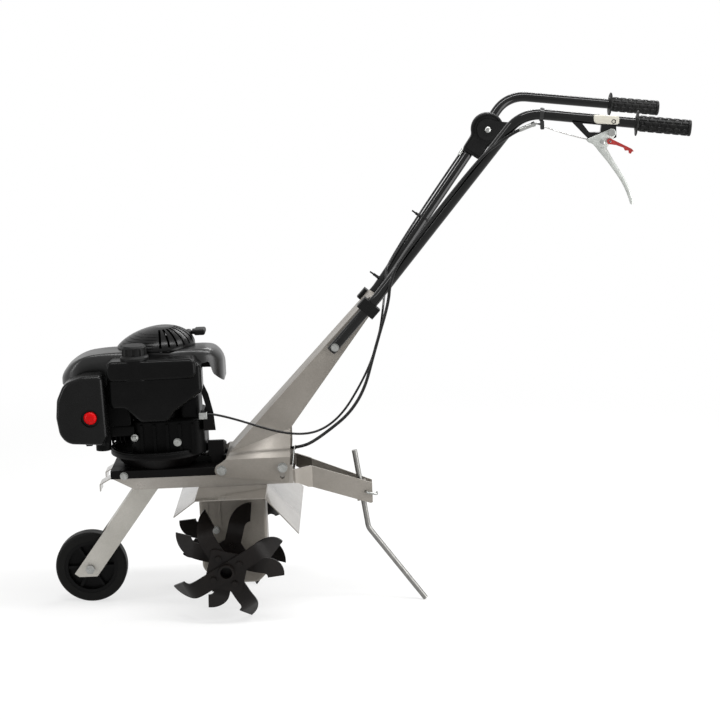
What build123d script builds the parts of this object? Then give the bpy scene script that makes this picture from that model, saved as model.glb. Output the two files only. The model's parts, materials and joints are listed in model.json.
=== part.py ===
from build123d import *
import os
from math import atan2, cos, degrees, hypot, radians, sin, sqrt

# Garden tiller.  Every piece is built level: millimetres, +X to the rear (the handles),
# +Y to the side away from the viewer, +Z up, origin on the tine axle at mid width.
# The last step sets the whole machine on the floor, nose down, on its tine tips and wheel.

# stance
nose_down = 2.5
axle_x = -287.5

# gap between pieces that move past each other
run_gap = 0.3

# tines
tine_reach = 130.0
tine_width = 36.0
tine_thick = 5.0
hook_radius = 30.0
hook_turn = 80.0
bend_start = 58.0
bend_radius = 50.0
outer_bend = 55.0
inner_bend = 34.0
outer_angle = 30.0
inner_angle = 75.0
outer_plane = 188.0
inner_plane = 96.0
hub_end = 200.0
hub_split = 109.0
hub_start = 43.0
hub_radius = 17.0
tine_shaft_radius = 12.5
socket_depth = 30.0
socket_radius = 13.0
tine_pin_radius = 4.0
tine_plate = 84.0
tine_bolt_size = 7.0
tine_bolt_reach = 33.0
outer_pin = 150.0
inner_pin = 62.0

# gear case and worm drive
case_half = 38.0
case_wall = 4.0
case_front = -64.0
case_rear = 84.0
case_bottom = -72.0
worm_x = 63.0
worm_radius = 15.0
worm_wheel_radius = 46.0
worm_shaft_radius = 8.5
case_bolts = [(-22, -20), (-22, 20), (32, -20), (32, 20)]

# chassis pan and deck
sheet = 3.0
pan_front = -247.0
pan_rear = 150.0
pan_half = 80.0
pan_bottom = 164.0
pan_lip = 190.0
pan_top = 205.0
pan_slant = 48.0
deck_half = pan_half + sheet
deck_top = pan_top + sheet
deck_front = -250.0
deck_rear = 130.0

# front wheel and its folding fork
wheel_radius = 80.0
wheel_x = -315.5
wheel_width = 38.0
rim_radius = 60.0
wheel_axle_radius = 6.0
fork_pivot_x = -163.0
fork_pivot_z = 176.0
fork_width = 45.0
fork_half = 31.0
fork_sheet = 4.0

# tine guard
guard_half = 200.0
guard_sheet = 2.0
guard_front = -58.0
guard_rear = 92.0

# engine, on a vertical crank
crank_x = -145.0
crank_radius = 12.5
flange_radius = 110.0
flange_z = 238.0
crankcase_half = 80.0
crankcase_front = -200.0
crankcase_rear = -40.0
blower_z = 398.0
cylinder_z = 325.0
shroud_near = -78.0
shroud_far = 100.0
shroud_top = 470.0
shroud_front = -348.0
shroud_rear = 7.0
shroud_wall = 4.0
shroud_corner = 48.0
shoulder_radius = 102.0
shoulder_y = -4.0
shoulder_drop = 101.5
dome_x = crank_x + 4.0
dome_radius = 86.0
dome_height = 44.0
dome_lean = 18.0
dome_wall = 3.0
louvre_count = 13
tank_near = -140.0
cap_x = -178.0
cap_y = -110.0
filter_back = -90.0
filter_near = -146.0
primer_x = -277.8
primer_z = 342.7

# belt drive
belt_z = 217.0
drive_radius = 30.0
driven_radius = 36.0
belt_thick = 8.0
belt_width = 11.0
idler_radius = 14.0
idler_x = -42.0
idler_y = -6.0
idler_pivot_x = -92.0
idler_pivot_y = 2.0

# handle column: front bolt is its hinge
hinge_x = -5.8
hinge_z = 200.6
rear_bolt_x = 128.1
rear_bolt_z = 201.5
tilt_range = 8.6
foot_in = deck_half + 0.5
foot_out = foot_in + sheet
column_half = 50.0
foot_line = 224.0
fold_front = (12.0, 232.0)
fold_rear = (148.0, 280.0)
top_front = (334.0, 566.0)
top_rear = (354.0, 552.0)

# handle bars
tube_radius = 11.0
tube_wall = 1.6
bar_start = (246.0, 452.0)
bar_bolt = (254.8, 461.4)
case_side_bolt = (-29.0, 53.0)
engine_bolt = (-99.0, 267.0)
engine_bolt_y = -80.0
bar_bolt_size = 8.0
bar_knee = (352.0, 566.0)
bar_corner = (665.0, 967.0)
bar_end = (1004.0, 922.0)
knee_y = column_half + tube_radius + 0.2
corner_y = 235.0
grip_y = 252.0
bar_bend = 75.0
grip_length = 115.0
grip_radius = 16.5
grip_flange = 26.0

# hand controls
lever_x = 846.0
lever_z = 919.0
lever_pin_radius = 4.0
bracket_half = 7.5
cheek_thick = 3.0
lever_width = 13.0
cable_eye = (801.0, 905.5)
lever_tip = (884.0, 777.0)
adjuster_start = (659.4, -233.0, 931.4)
adjuster_end = (690.0, -241.0, 943.5)
adjuster_radius = 4.5
clip_x = 705.0
throttle_share = 0.832
throttle_drop = 3.0
throttle_radius = 46.0

# rear hitch and skid bar
skid_radius = 6.0
skid_top = (286.0, 213.0)
skid_bend = (310.0, 34.0)
skid_foot_x = 432.0
skid_pin_z = 122.0
hitch_sheet = 4.0

os.makedirs("parts", exist_ok=True)
pieces = {}


def side_plane(y, x=0.0, z=0.0):
    """Plane seen from the near side: local x to the rear, local y up, outward normal -Y."""
    return Plane(origin=(x, y, z), x_dir=(1, 0, 0), z_dir=(0, -1, 0))


def level_plane(z, x=0.0, y=0.0):
    """Level plane at height z."""
    return Plane(origin=(x, y, z), x_dir=(1, 0, 0), z_dir=(0, 0, 1))


def keep(builder, label):
    """Name a finished piece and hold it until the stance is known."""
    builder.part.label = label
    pieces[label] = builder.part


def post(x, y, z, radius, length, direction):
    """Plain round bar from a point along a direction."""
    with BuildPart() as bar:
        with BuildSketch(Plane(origin=(x, y, z), z_dir=direction)):
            Circle(radius)
        extrude(amount=length)
    return bar.part


def tube_along(points, radii, radius):
    """Round rod along straight runs joined by tangent arcs."""
    with BuildPart() as rod:
        with BuildLine() as run:
            FilletPolyline(*points, radius=radii)
        with BuildSketch(Plane(origin=run.line @ 0, z_dir=run.line % 0)):
            Circle(radius)
        sweep(path=run.line)
    return rod.part


def hex_bolt(x, y, z, direction, size, shank):
    """Hexagon bolt with washer: the washer sits at the point, the shank runs behind it."""
    seat = Plane(origin=(x, y, z), z_dir=direction)
    with BuildPart() as bolt:
        with BuildSketch(seat):
            Circle(1.1 * size)
        extrude(amount=0.18 * size)
        with BuildSketch(seat.offset(0.18 * size)):
            RegularPolygon(0.85 * size, 6, major_radius=False)
        extrude(amount=0.62 * size)
        with BuildSketch(seat):
            Circle(size / 2)
        extrude(amount=-shank)
    return bolt.part


# Tine blades

def tine_blade(bend, shift):
    """One tine along +X: flat strip that curls towards +Y, cut to a hook of one width."""
    drop = hook_radius - (hook_radius + tine_width / 2) * cos(radians(hook_turn))
    reach = (hook_radius + tine_width / 2) * sin(radians(hook_turn))
    hook_start = sqrt(tine_reach ** 2 - drop ** 2) - reach
    with BuildPart() as blade:
        with BuildSketch(Plane.XY):
            with BuildLine():
                flat = Line((0, shift), (bend_start, shift))
                curl = JernArc(flat @ 1, flat % 1, bend_radius, bend)
                PolarLine(curl @ 1, 2.0 * tine_width, direction=curl % 1)
            trace(line_width=tine_thick)
        extrude(amount=tine_reach, both=True)
        with BuildSketch(side_plane(0)):
            with BuildLine():
                lead = Line((0, tine_width / 2), (hook_start, tine_width / 2))
                back = JernArc(lead @ 1, lead % 1, hook_radius + tine_width / 2, -hook_turn)
                trail = Line((0, -tine_width / 2), (hook_start, -tine_width / 2))
                belly = JernArc(trail @ 1, trail % 1, hook_radius - tine_width / 2, -hook_turn)
                Line(back @ 1, belly @ 1)
                Line(lead @ 0, trail @ 0)
            make_face()
        extrude(amount=2 * tine_reach, both=True, mode=Mode.INTERSECT)
    return blade.part


def tine_strip(bend, shift):
    """Two-ended tine: one flat strip over the hub, hooked at both ends, with hub and bolt holes."""
    blade = tine_blade(bend, shift)
    with BuildPart() as strip:
        add(blade)
        add(blade.rotate(Axis.Y, 180))
        with BuildSketch(side_plane(0)):
            Circle(hub_radius + 0.1)
            with Locations((-tine_bolt_reach, 0), (tine_bolt_reach, 0)):
                Circle(tine_bolt_size / 2 + 0.2)
        extrude(amount=tine_reach, both=True, mode=Mode.SUBTRACT)
    return strip.part


def crossed_strips(plane_y, bend, first_angle):
    """The two tines of a left-hand rotor, one on each face of the hub plate."""
    near = tine_strip(bend, 0).rotate(Axis.Y, -first_angle)
    far = tine_strip(bend, 2 * tine_thick).rotate(Axis.Y, -first_angle - 90)
    return [near.translate((0, -plane_y, 0)), far.translate((0, -plane_y, 0))]


def tine_hub(plane_y, first_angle, hub_near, hub_far, pin_y):
    """Left-hand rotor hub: tube on the shaft with a square plate for the tines."""
    with BuildPart() as hub:
        with BuildSketch(side_plane(-hub_far)):
            Circle(hub_radius)
        extrude(amount=hub_near - hub_far)
        with BuildSketch(side_plane(-plane_y + 0.5 * tine_thick)):
            with Locations(Rotation(0, 0, first_angle + 45)):
                RectangleRounded(tine_plate, tine_plate, 8)
            with PolarLocations(tine_bolt_reach, 4, start_angle=first_angle):
                Circle(tine_bolt_size / 2 + 0.2, mode=Mode.SUBTRACT)
        extrude(amount=-tine_thick)
        with BuildSketch(side_plane(0)):
            Circle(tine_shaft_radius + 0.2)
        extrude(amount=2 * hub_end, mode=Mode.SUBTRACT)
        # open socket past the end of the shaft
        with BuildSketch(side_plane(socket_depth - hub_end)):
            Circle(socket_radius)
        extrude(amount=socket_depth, mode=Mode.SUBTRACT)
        with BuildSketch(level_plane(0, 0, -pin_y)):
            Circle(tine_pin_radius + 0.1)
        extrude(amount=2 * hub_radius, both=True, mode=Mode.SUBTRACT)
    return hub.part


def tine_bolt(plane_y, angle, lift):
    """Bolt and nut that clamp one tine to its hub plate, at a given angle round the axle."""
    x = tine_bolt_reach * cos(radians(angle))
    z = tine_bolt_reach * sin(radians(angle))
    head = -plane_y + lift
    with BuildPart() as bolt:
        add(hex_bolt(x, head, z, (0, -1, 0), tine_bolt_size, 2 * tine_thick))
        add(hex_bolt(x, head + 2 * tine_thick, z, (0, 1, 0), tine_bolt_size, tine_thick))
    return bolt.part


strips_outer = crossed_strips(outer_plane, outer_bend, outer_angle)
strips_inner = crossed_strips(inner_plane, inner_bend, inner_angle)

# The floor lies under the lowest tine tip of the tilted machine.
tilt = Location((0, 0, 0), (0, -nose_down, 0))
axle_height = -min(strip.moved(tilt).bounding_box().min.Z for strip in strips_outer + strips_inner)
stance = Location((axle_x, 0, axle_height), (0, -nose_down, 0))


def floor_gap(x, height):
    """Level-frame z of a point that stands at a given height over the floor."""
    return (height - axle_height - x * sin(radians(nose_down))) / cos(radians(nose_down))


with BuildPart() as tine_blades_left:
    for strip in strips_outer + strips_inner:
        add(strip)
keep(tine_blades_left, "tine_blades_left")

with BuildPart() as tine_blades_right:
    for strip in strips_outer + strips_inner:
        add(strip.mirror(Plane.XZ))
keep(tine_blades_right, "tine_blades_right")

hub_outer = tine_hub(outer_plane, outer_angle, hub_end, hub_split, outer_pin)
hub_inner = tine_hub(inner_plane, inner_angle, hub_split - 1, hub_start, inner_pin)

with BuildPart() as tine_hubs:
    for hub in (hub_outer, hub_inner):
        add(hub)
        add(hub.mirror(Plane.XZ))
keep(tine_hubs, "tine_hubs")

with BuildPart() as tine_bolts:
    for plane_y, first_angle in ((outer_plane, outer_angle), (inner_plane, inner_angle)):
        for number in range(4):
            lift = (-0.5 if number % 2 == 0 else 0.5) * tine_thick
            bolt = tine_bolt(plane_y, first_angle + 90 * number, lift)
            add(bolt)
            add(bolt.mirror(Plane.XZ))
keep(tine_bolts, "tine_bolts")

tine_pin_spots = (outer_pin, inner_pin)

with BuildPart() as tine_pins:
    for side in (-1, 1):
        for spot in tine_pin_spots:
            add(post(0, side * spot, -hub_radius - 4, tine_pin_radius, 2 * hub_radius + 4, (0, 0, 1)))
            add(post(0, side * spot, hub_radius, 1.7 * tine_pin_radius, 4, (0, 0, 1)))
keep(tine_pins, "tine_pins")

with BuildPart() as tine_shaft:
    with BuildSketch(side_plane(hub_end - socket_depth)):
        Circle(tine_shaft_radius)
    extrude(amount=2 * (hub_end - socket_depth))
    for side in (-1, 1):
        for spot in tine_pin_spots:
            with BuildSketch(level_plane(0, 0, side * spot)):
                Circle(tine_pin_radius + 0.1)
            extrude(amount=2 * hub_radius, both=True, mode=Mode.SUBTRACT)
keep(tine_shaft, "tine_shaft")

# Gear case with the worm drive

with BuildPart() as worm_wheel:
    with BuildSketch(side_plane(11)):
        Circle(worm_wheel_radius)
        with PolarLocations(worm_wheel_radius, 25):
            RectangleRounded(8, 5.2, 1)
        Circle(tine_shaft_radius, mode=Mode.SUBTRACT)
    extrude(amount=22)
    with BuildSketch(side_plane(20)):
        Circle(22)
        Circle(tine_shaft_radius, mode=Mode.SUBTRACT)
    extrude(amount=40)
keep(worm_wheel, "worm_wheel")

with BuildPart() as worm_shaft:
    with BuildSketch(level_plane(-30, worm_x)):
        Circle(worm_shaft_radius)
    extrude(amount=belt_z + 38)
    with BuildSketch(level_plane(-22, worm_x)):
        Circle(worm_radius - 7)
    extrude(amount=44)
    with BuildSketch(level_plane(26, worm_x)):
        Circle(worm_radius)
    extrude(amount=8)
keep(worm_shaft, "worm_shaft")


def case_outline(inset):
    """Side outline of the gear case, pulled in by a wall thickness."""
    with BuildSketch() as outline:
        with BuildLine():
            Polyline(
                (-34, pan_bottom),
                (-34, 142),
                (case_front, 116),
                (case_front, -34),
                (-34, case_bottom),
                (60, case_bottom),
                (case_rear, -48),
                (case_rear, 140),
                (79, pan_bottom),
                close=True,
            )
        make_face()
        fillet(outline.vertices().sort_by(Axis.Y)[:4], 26)
        if inset > 0:
            offset(amount=-inset, mode=Mode.REPLACE)
    return outline.sketch


def case_half_shell(side):
    """One half of the gear case: pressed shell with rim, bearing boss and ribs."""
    bearing_seat = 26.0
    with BuildPart() as half:
        with BuildSketch(side_plane(0)):
            add(case_outline(0))
        extrude(amount=-side * case_half)
        outer = half.faces().filter_by(Axis.Y).sort_by(Axis.Y)[0 if side < 0 else -1]
        fillet(outer.edges().filter_by(lambda e: e.center().Z < 100), 7)
        with BuildSketch(side_plane(0)):
            add(case_outline(case_wall))
        extrude(amount=-side * (case_half - case_wall), mode=Mode.SUBTRACT)
        # bearing cup and shaft hole
        with BuildSketch(side_plane(side * (case_half + 3))):
            Circle(bearing_seat + 5)
        extrude(amount=side * 16)
        with BuildSketch(side_plane(side * (case_half + 1))):
            Circle(bearing_seat)
        extrude(amount=side * 20, mode=Mode.SUBTRACT)
        with BuildSketch(side_plane(0)):
            Circle(hub_radius + 1)
        extrude(amount=-side * 60, mode=Mode.SUBTRACT)
        with BuildSketch(side_plane(0)):
            with Locations(case_side_bolt):
                Circle(4.2)
        extrude(amount=-side * 60, mode=Mode.SUBTRACT)
        # two pressed ribs on the face
        for rib_x in (-48, -20):
            with BuildSketch(side_plane(side * case_half)):
                with Locations((rib_x, 92)):
                    SlotOverall(60, 7, rotation=90)
            extrude(amount=-side * 2.5)
        # worm bearing seats
        for seat_z in (-32, 146):
            with BuildSketch(level_plane(seat_z, worm_x)):
                Rectangle(34, 2 * (case_half - case_wall))
                Circle(worm_shaft_radius + 0.4, mode=Mode.SUBTRACT)
            extrude(amount=8)
        with BuildSketch(level_plane(pan_bottom, worm_x)):
            Circle(worm_shaft_radius + 0.4)
        extrude(amount=-20, mode=Mode.SUBTRACT)
        with BuildSketch(level_plane(pan_bottom)):
            with Locations(*case_bolts):
                Circle(4.2)
        extrude(amount=-20, mode=Mode.SUBTRACT)
        with BuildSketch(Plane.XZ):
            Rectangle(600, 600)
        extrude(amount=side * 100, mode=Mode.SUBTRACT)
    return half.part


with BuildPart() as gearcase_left:
    add(case_half_shell(-1))
keep(gearcase_left, "gearcase_left")

with BuildPart() as gearcase_right:
    add(case_half_shell(1))
keep(gearcase_right, "gearcase_right")


def ball_bearing(plane, bore, outside, width):
    """Plain sealed bearing ring."""
    with BuildPart() as ring:
        with BuildSketch(plane):
            Circle(outside)
            Circle(bore, mode=Mode.SUBTRACT)
        extrude(amount=width)
    return ring.part


with BuildPart() as shaft_bearings:
    for side in (-1, 1):
        add(ball_bearing(side_plane(side * (case_half - 5) + 6), tine_shaft_radius + 0.05, 26, 12))
keep(shaft_bearings, "shaft_bearings")

# Chassis pan, engine deck and tine guard

deck_bolt = (-220.6, 196.5)

with BuildPart() as chassis_pan:
    with BuildSketch(side_plane(0)):
        with BuildLine():
            Polyline(
                (pan_front, pan_top),
                (pan_front, pan_lip),
                (pan_front + pan_slant, pan_bottom),
                (pan_rear, pan_bottom),
                (pan_rear, pan_top),
                close=True,
            )
        make_face()
    extrude(amount=pan_half, both=True)
    open_top = chassis_pan.faces().sort_by(Axis.Z)[-1]
    open_rear = chassis_pan.faces().sort_by(Axis.X)[-1]
    offset(amount=-sheet, openings=[open_top, open_rear])
    # front lip
    with BuildSketch(side_plane(0)):
        with BuildLine():
            Polyline((pan_front, 193), (pan_front - 28, 178), (pan_front - 28, 163))
        trace(line_width=2)
    extrude(amount=pan_half, both=True)
    # slot for the wheel fork, open to the front
    with BuildSketch(level_plane(pan_bottom - 5, pan_front)):
        Rectangle(244, 2 * fork_half + 5)
    extrude(amount=27, mode=Mode.SUBTRACT)
    with BuildSketch(level_plane(pan_bottom - 5, pan_front - 20)):
        Rectangle(40, 2 * fork_half + 5)
    extrude(amount=60, mode=Mode.SUBTRACT)
    # lugs for the fork pivot
    for side in (-1, 1):
        with BuildSketch(side_plane(side * (fork_half + 5))):
            with Locations((fork_pivot_x, fork_pivot_z)):
                Circle(17)
            with Locations((fork_pivot_x, (fork_pivot_z + pan_bottom) / 2)):
                Rectangle(34, fork_pivot_z - pan_bottom)
        extrude(amount=2, both=True)
    with BuildSketch(side_plane(0)):
        with Locations((fork_pivot_x, fork_pivot_z)):
            Circle(wheel_axle_radius + 0.1)
    extrude(amount=fork_half + 10, both=True, mode=Mode.SUBTRACT)
    # worm shaft hole and case bolt holes
    with BuildSketch(level_plane(pan_bottom)):
        with Locations((worm_x, 0)):
            Circle(worm_shaft_radius + 4)
        with Locations(*case_bolts):
            Circle(4.2)
    extrude(amount=2 * sheet, mode=Mode.SUBTRACT)
    # side bolt holes
    with BuildSketch(side_plane(0)):
        with Locations(deck_bolt):
            Circle(4.2)
        with Locations((hinge_x, hinge_z), (rear_bolt_x, rear_bolt_z)):
            Circle(5.2)
    extrude(amount=pan_half + 10, both=True, mode=Mode.SUBTRACT)
keep(chassis_pan, "chassis_pan")

with BuildPart() as engine_deck:
    with BuildSketch(level_plane(pan_lip, (deck_front + deck_rear) / 2)):
        Rectangle(deck_rear - deck_front, 2 * deck_half)
    extrude(amount=deck_top - pan_lip)
    fillet(engine_deck.edges().filter_by(Axis.X).group_by(Axis.Z)[-1], 2)
    with BuildSketch(level_plane(pan_lip - 1, (deck_front + deck_rear) / 2)):
        Rectangle(deck_rear - deck_front + 2, 2 * pan_half)
    extrude(amount=pan_top - pan_lip + 1, mode=Mode.SUBTRACT)
    with BuildSketch(level_plane(pan_top - 1, worm_x)):
        Circle(worm_shaft_radius + 4)
    extrude(amount=10, mode=Mode.SUBTRACT)
    with BuildSketch(side_plane(0)):
        with Locations(deck_bolt):
            Circle(4.2)
        with Locations((hinge_x, hinge_z), (rear_bolt_x, rear_bolt_z)):
            Circle(5.2)
    extrude(amount=pan_half + 10, both=True, mode=Mode.SUBTRACT)
    # raised belt cover behind the engine, on two low feet
    for foot_y in (-44, 44):
        with BuildSketch(level_plane(deck_top, -18, foot_y)):
            Rectangle(24, 6)
        extrude(amount=20)
    with BuildSketch(Plane(origin=(-18, 0, deck_top), x_dir=(0, 1, 0), z_dir=(1, 0, 0))):
        Polygon((-48, 19), (48, 19), (48, 27), (-40, 52), (-48, 52), align=None)
    extrude(amount=17, both=True)
    # stop lug for the clutch cable
    with BuildSketch(level_plane(deck_top, 127, -50)):
        Rectangle(4, 22)
    extrude(amount=38)
    # pivot post of the belt idler
    with BuildSketch(level_plane(deck_top, idler_pivot_x, idler_pivot_y)):
        Circle(5)
    extrude(amount=6)
keep(engine_deck, "engine_deck")

with BuildPart() as tine_guard:
    mid_z = pan_bottom - guard_sheet / 2
    with BuildSketch(side_plane(0)):
        with BuildLine():
            Polyline((-106, 129), (guard_front, mid_z), (guard_rear, mid_z), (161, 82))
        trace(line_width=guard_sheet)
    extrude(amount=guard_half, both=True)
    with BuildSketch(level_plane(pan_bottom - 10)):
        with Locations((22.5, 0)):
            Rectangle(117, 2 * case_half + 4)
    extrude(amount=20, mode=Mode.SUBTRACT)
keep(tine_guard, "tine_guard")

# Engine

crank_axis = Axis((crank_x, 0, 0), (0, 0, 1))
crank_plane = Plane(origin=(crank_x, 0, 0), x_dir=(1, 0, 0), z_dir=(0, -1, 0))

with BuildPart() as pulley_housing:
    with BuildSketch(crank_plane):
        Polygon(
            (75, deck_top),
            (81, deck_top),
            (104, flange_z - 5),
            (flange_radius, flange_z - 4),
            (flange_radius, flange_z),
            (97, flange_z),
            (97, flange_z - 5),
            align=None,
        )
    revolve(axis=crank_axis)
    # the belt leaves through the rear of the cone
    with BuildSketch(level_plane(deck_top - 1, crank_x + 80)):
        Rectangle(100, 2 * driven_radius + 16)
    extrude(amount=flange_z - deck_top - 4, mode=Mode.SUBTRACT)
keep(pulley_housing, "pulley_housing")

case_mid = (crankcase_front + crankcase_rear) / 2
case_length = crankcase_rear - crankcase_front

with BuildPart() as crankcase:
    with BuildSketch(level_plane(flange_z, crank_x)):
        Circle(flange_radius)
    extrude(amount=8)
    fillet(crankcase.edges().group_by(Axis.Z)[-1], 3)
    with BuildSketch(crank_plane):
        with Locations((flange_radius - 5, flange_z + 8)):
            Circle(4)
    revolve(axis=crank_axis)
    with BuildSketch(level_plane(flange_z, case_mid)):
        RectangleRounded(case_length, 2 * crankcase_half, 28)
    extrude(amount=80)
    fillet(crankcase.edges().group_by(Axis.Z)[-1], 8)
    # stiffening ribs on both long sides
    for side in (-1, 1):
        for rib_x in (-176, -148, -120, -92, -64):
            with BuildSketch(level_plane(flange_z + 4, rib_x, side * crankcase_half)):
                Rectangle(6, 10)
            extrude(amount=66)
    with BuildSketch(level_plane(flange_z + 40, crank_x)):
        Circle(70)
    extrude(amount=blower_z - flange_z - 40)
    with BuildSketch(level_plane(blower_z - 6, crank_x)):
        Circle(-shroud_near - 2)
        with Locations((0, (shroud_far + 60) / 2 - 1)):
            Rectangle(30, shroud_far - 60)
        with Locations(((shroud_front - crank_x) / 2 - 10, 0)):
            Rectangle(crank_x - shroud_front - 22, 26)
    extrude(amount=6)
    with BuildSketch(level_plane(flange_z + 12, crankcase_front - 20)):
        Rectangle(40, 90)
    extrude(amount=85, mode=Mode.SUBTRACT)
    with BuildSketch(level_plane(0, crank_x)):
        Circle(crank_radius + 0.1)
    extrude(amount=600, mode=Mode.SUBTRACT)
    # spot face and hole for the side bolt
    add(post(engine_bolt[0], engine_bolt_y, engine_bolt[1], 11.5, 20, (0, -1, 0)), mode=Mode.SUBTRACT)
    add(post(engine_bolt[0], engine_bolt_y - 1, engine_bolt[1], 4.2, 16, (0, 1, 0)), mode=Mode.SUBTRACT)
keep(crankcase, "crankcase")

with BuildPart() as cylinder:
    front_plane = Plane(origin=(crankcase_front, 0, cylinder_z - 30), x_dir=(0, 1, 0), z_dir=(-1, 0, 0))
    with BuildSketch(front_plane):
        Circle(36)
    extrude(amount=92)
    for number in range(8):
        with BuildSketch(front_plane.offset(18 + 9 * number)):
            RectangleRounded(86, 72, 10)
        extrude(amount=2.6)
    with BuildSketch(front_plane.offset(90)):
        RectangleRounded(88, 74, 12)
    extrude(amount=16)
    for fin_y in (-37, -24, 24, 37):
        with BuildSketch(front_plane.offset(106)):
            with Locations((fin_y, 0)):
                Rectangle(2.6, 66)
        extrude(amount=14)
    # exhaust and intake bosses
    with BuildSketch(side_plane(50, -262, cylinder_z - 30)):
        RectangleRounded(34, 34, 6)
    extrude(amount=100)
keep(cylinder, "cylinder")

plug_axis = Axis((-306, 4, cylinder_z - 30), (-1, 0, 0))
with BuildPart() as spark_plug:
    with BuildSketch(Plane(origin=(-306, 4, cylinder_z - 30), x_dir=(-1, 0, 0), z_dir=(0, -1, 0))):
        Polygon((0, 0), (0, 9), (16, 9), (16, 6), (22, 6), (22, 10), (44, 10), (47, 7), (47, 0), align=None)
    revolve(axis=plug_axis)
keep(spark_plug, "spark_plug")

with BuildPart() as muffler:
    with BuildSketch(side_plane(50, -258, cylinder_z - 30)):
        RectangleRounded(112, 84, 18)
    extrude(amount=-62)
    fillet(muffler.faces().filter_by(Axis.Y).edges(), 10)
    with BuildSketch(level_plane(cylinder_z - 60, -290, 90)):
        Circle(9)
    extrude(amount=-22)
keep(muffler, "muffler")

with BuildPart() as carburettor:
    with BuildSketch(side_plane(-50, -262, cylinder_z - 30)):
        RectangleRounded(38, 40, 6)
    extrude(amount=-filter_back - 50)
    with BuildSketch(level_plane(cylinder_z - 46, -262, (filter_back - 50) / 2)):
        Circle(17)
    extrude(amount=-24)
keep(carburettor, "carburettor")


def filter_outline(inset):
    """Side outline of the air cleaner, pulled in by a wall thickness."""
    with BuildSketch() as outline:
        with BuildLine():
            Polyline(
                (-247, 435),
                (-290, 434),
                (-331, 420),
                (-348, 384),
                (-352, 345),
                (-347, 308),
                (-332, 286),
                (-256, 281),
                (-244, 298),
                close=True,
            )
        make_face()
        corners = outline.vertices().sort_by(Axis.X)
        fillet(corners[:6], 33)
        fillet(outline.vertices().sort_by(Axis.X)[-3:], 12)
        if inset > 0:
            offset(amount=-inset, mode=Mode.REPLACE)
    return outline.sketch


with BuildPart() as air_filter_base:
    with BuildSketch(side_plane(filter_back)):
        add(filter_outline(4))
    extrude(amount=6)
    # cable and hose nubs under the base
    for nub_x in (-290, -262):
        with BuildSketch(level_plane(290, nub_x, filter_back - 3)):
            Rectangle(13, 6)
        extrude(amount=-20)
keep(air_filter_base, "air_filter_base")

with BuildPart() as air_filter_element:
    with BuildSketch(side_plane(filter_back - 6)):
        add(filter_outline(12))
        with Locations((primer_x, primer_z)):
            Circle(24, mode=Mode.SUBTRACT)
    extrude(amount=38)
keep(air_filter_element, "air_filter_element")

with BuildPart() as air_filter_cover:
    with BuildSketch(side_plane(filter_back - 6)):
        add(filter_outline(0))
    extrude(amount=filter_back - 6 - filter_near)
    fillet(air_filter_cover.faces().sort_by(Axis.Y)[0].edges(), 10)
    with BuildSketch(side_plane(filter_back - 6)):
        add(filter_outline(7))
    extrude(amount=44, mode=Mode.SUBTRACT)
    # sunk seat of the primer bulb
    with BuildSketch(side_plane(filter_back - 6)):
        with Locations((primer_x, primer_z)):
            Circle(23)
    extrude(amount=44)
    with BuildSketch(side_plane(filter_near)):
        with Locations((primer_x, primer_z)):
            Circle(20)
    extrude(amount=-6, mode=Mode.SUBTRACT)
    with BuildSketch(side_plane(filter_near)):
        with Locations((primer_x, primer_z)):
            Circle(15)
    extrude(amount=-60, mode=Mode.SUBTRACT)
keep(air_filter_cover, "air_filter_cover")

primer_axis = Axis((primer_x, 0, primer_z), (0, 1, 0))
with BuildPart() as primer_bulb:
    with BuildSketch(Plane(origin=(primer_x, 0, primer_z), x_dir=(1, 0, 0), z_dir=(0, 0, 1))):
        with BuildLine():
            Polyline(
                (3, filter_near - 3),
                (0, filter_near - 3),
                (0, filter_near + 22),
                (14.5, filter_near + 22),
                (14.5, filter_near + 4),
            )
            ThreePointArc((14.5, filter_near + 4), (11, filter_near - 1.2), (3, filter_near - 3))
        make_face()
    revolve(axis=primer_axis)
keep(primer_bulb, "primer_bulb")


def shroud_outline(inset):
    """Side outline of the engine shroud, pulled in by a wall thickness and open below."""
    nose_z = blower_z + 7
    with BuildSketch() as outline:
        with BuildLine():
            nose = Line((shroud_front + inset, blower_z), (shroud_front + inset, nose_z))
            brow = ThreePointArc(
                nose @ 1,
                (-314 + 0.7 * inset, 449 - 0.7 * inset),
                (-235, shroud_top - 2 - inset),
            )
            top = Polyline(brow @ 1, (-150, shroud_top - inset), (-22, shroud_top - inset))
            tail = ThreePointArc(
                top @ 1,
                (-2 - 0.7 * inset, shroud_top - 8 - 0.7 * inset),
                (shroud_rear - inset, shroud_top - 28),
            )
            Polyline(tail @ 1, (shroud_rear - inset, blower_z), nose @ 0)
        make_face()
    return outline.sketch


def shroud_form(inset):
    """Shroud body: side outline cut to a plan with round corners and to a round far shoulder."""
    # the plan runs 1 mm past both ends, so that the end faces come from the side outline alone
    length = shroud_rear - shroud_front - 2 * inset + 2
    width = shroud_far - shroud_near - 2 * inset
    centre = level_plane(blower_z - 10, (shroud_front + shroud_rear) / 2, (shroud_near + shroud_far) / 2)
    with BuildPart() as form:
        with BuildSketch(side_plane(shroud_near - 20)):
            add(shroud_outline(inset))
        extrude(amount=shroud_near - shroud_far - 40)
        with BuildSketch(centre):
            RectangleRounded(length, width, shroud_corner - inset)
        extrude(amount=shroud_top - blower_z + 20, mode=Mode.INTERSECT)
        front = Plane(origin=(shroud_front - 10, 0, 0), x_dir=(0, 1, 0), z_dir=(1, 0, 0))
        with BuildSketch(front):
            with Locations((shoulder_y, shroud_top - shoulder_drop)):
                Circle(shoulder_radius - inset)
            with Locations((1.5 * shroud_near, shroud_top)):
                Rectangle(3 * -shroud_near, 3 * (shroud_top - blower_z))
        extrude(amount=shroud_rear - shroud_front + 20, mode=Mode.INTERSECT)
    return form.part


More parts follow.
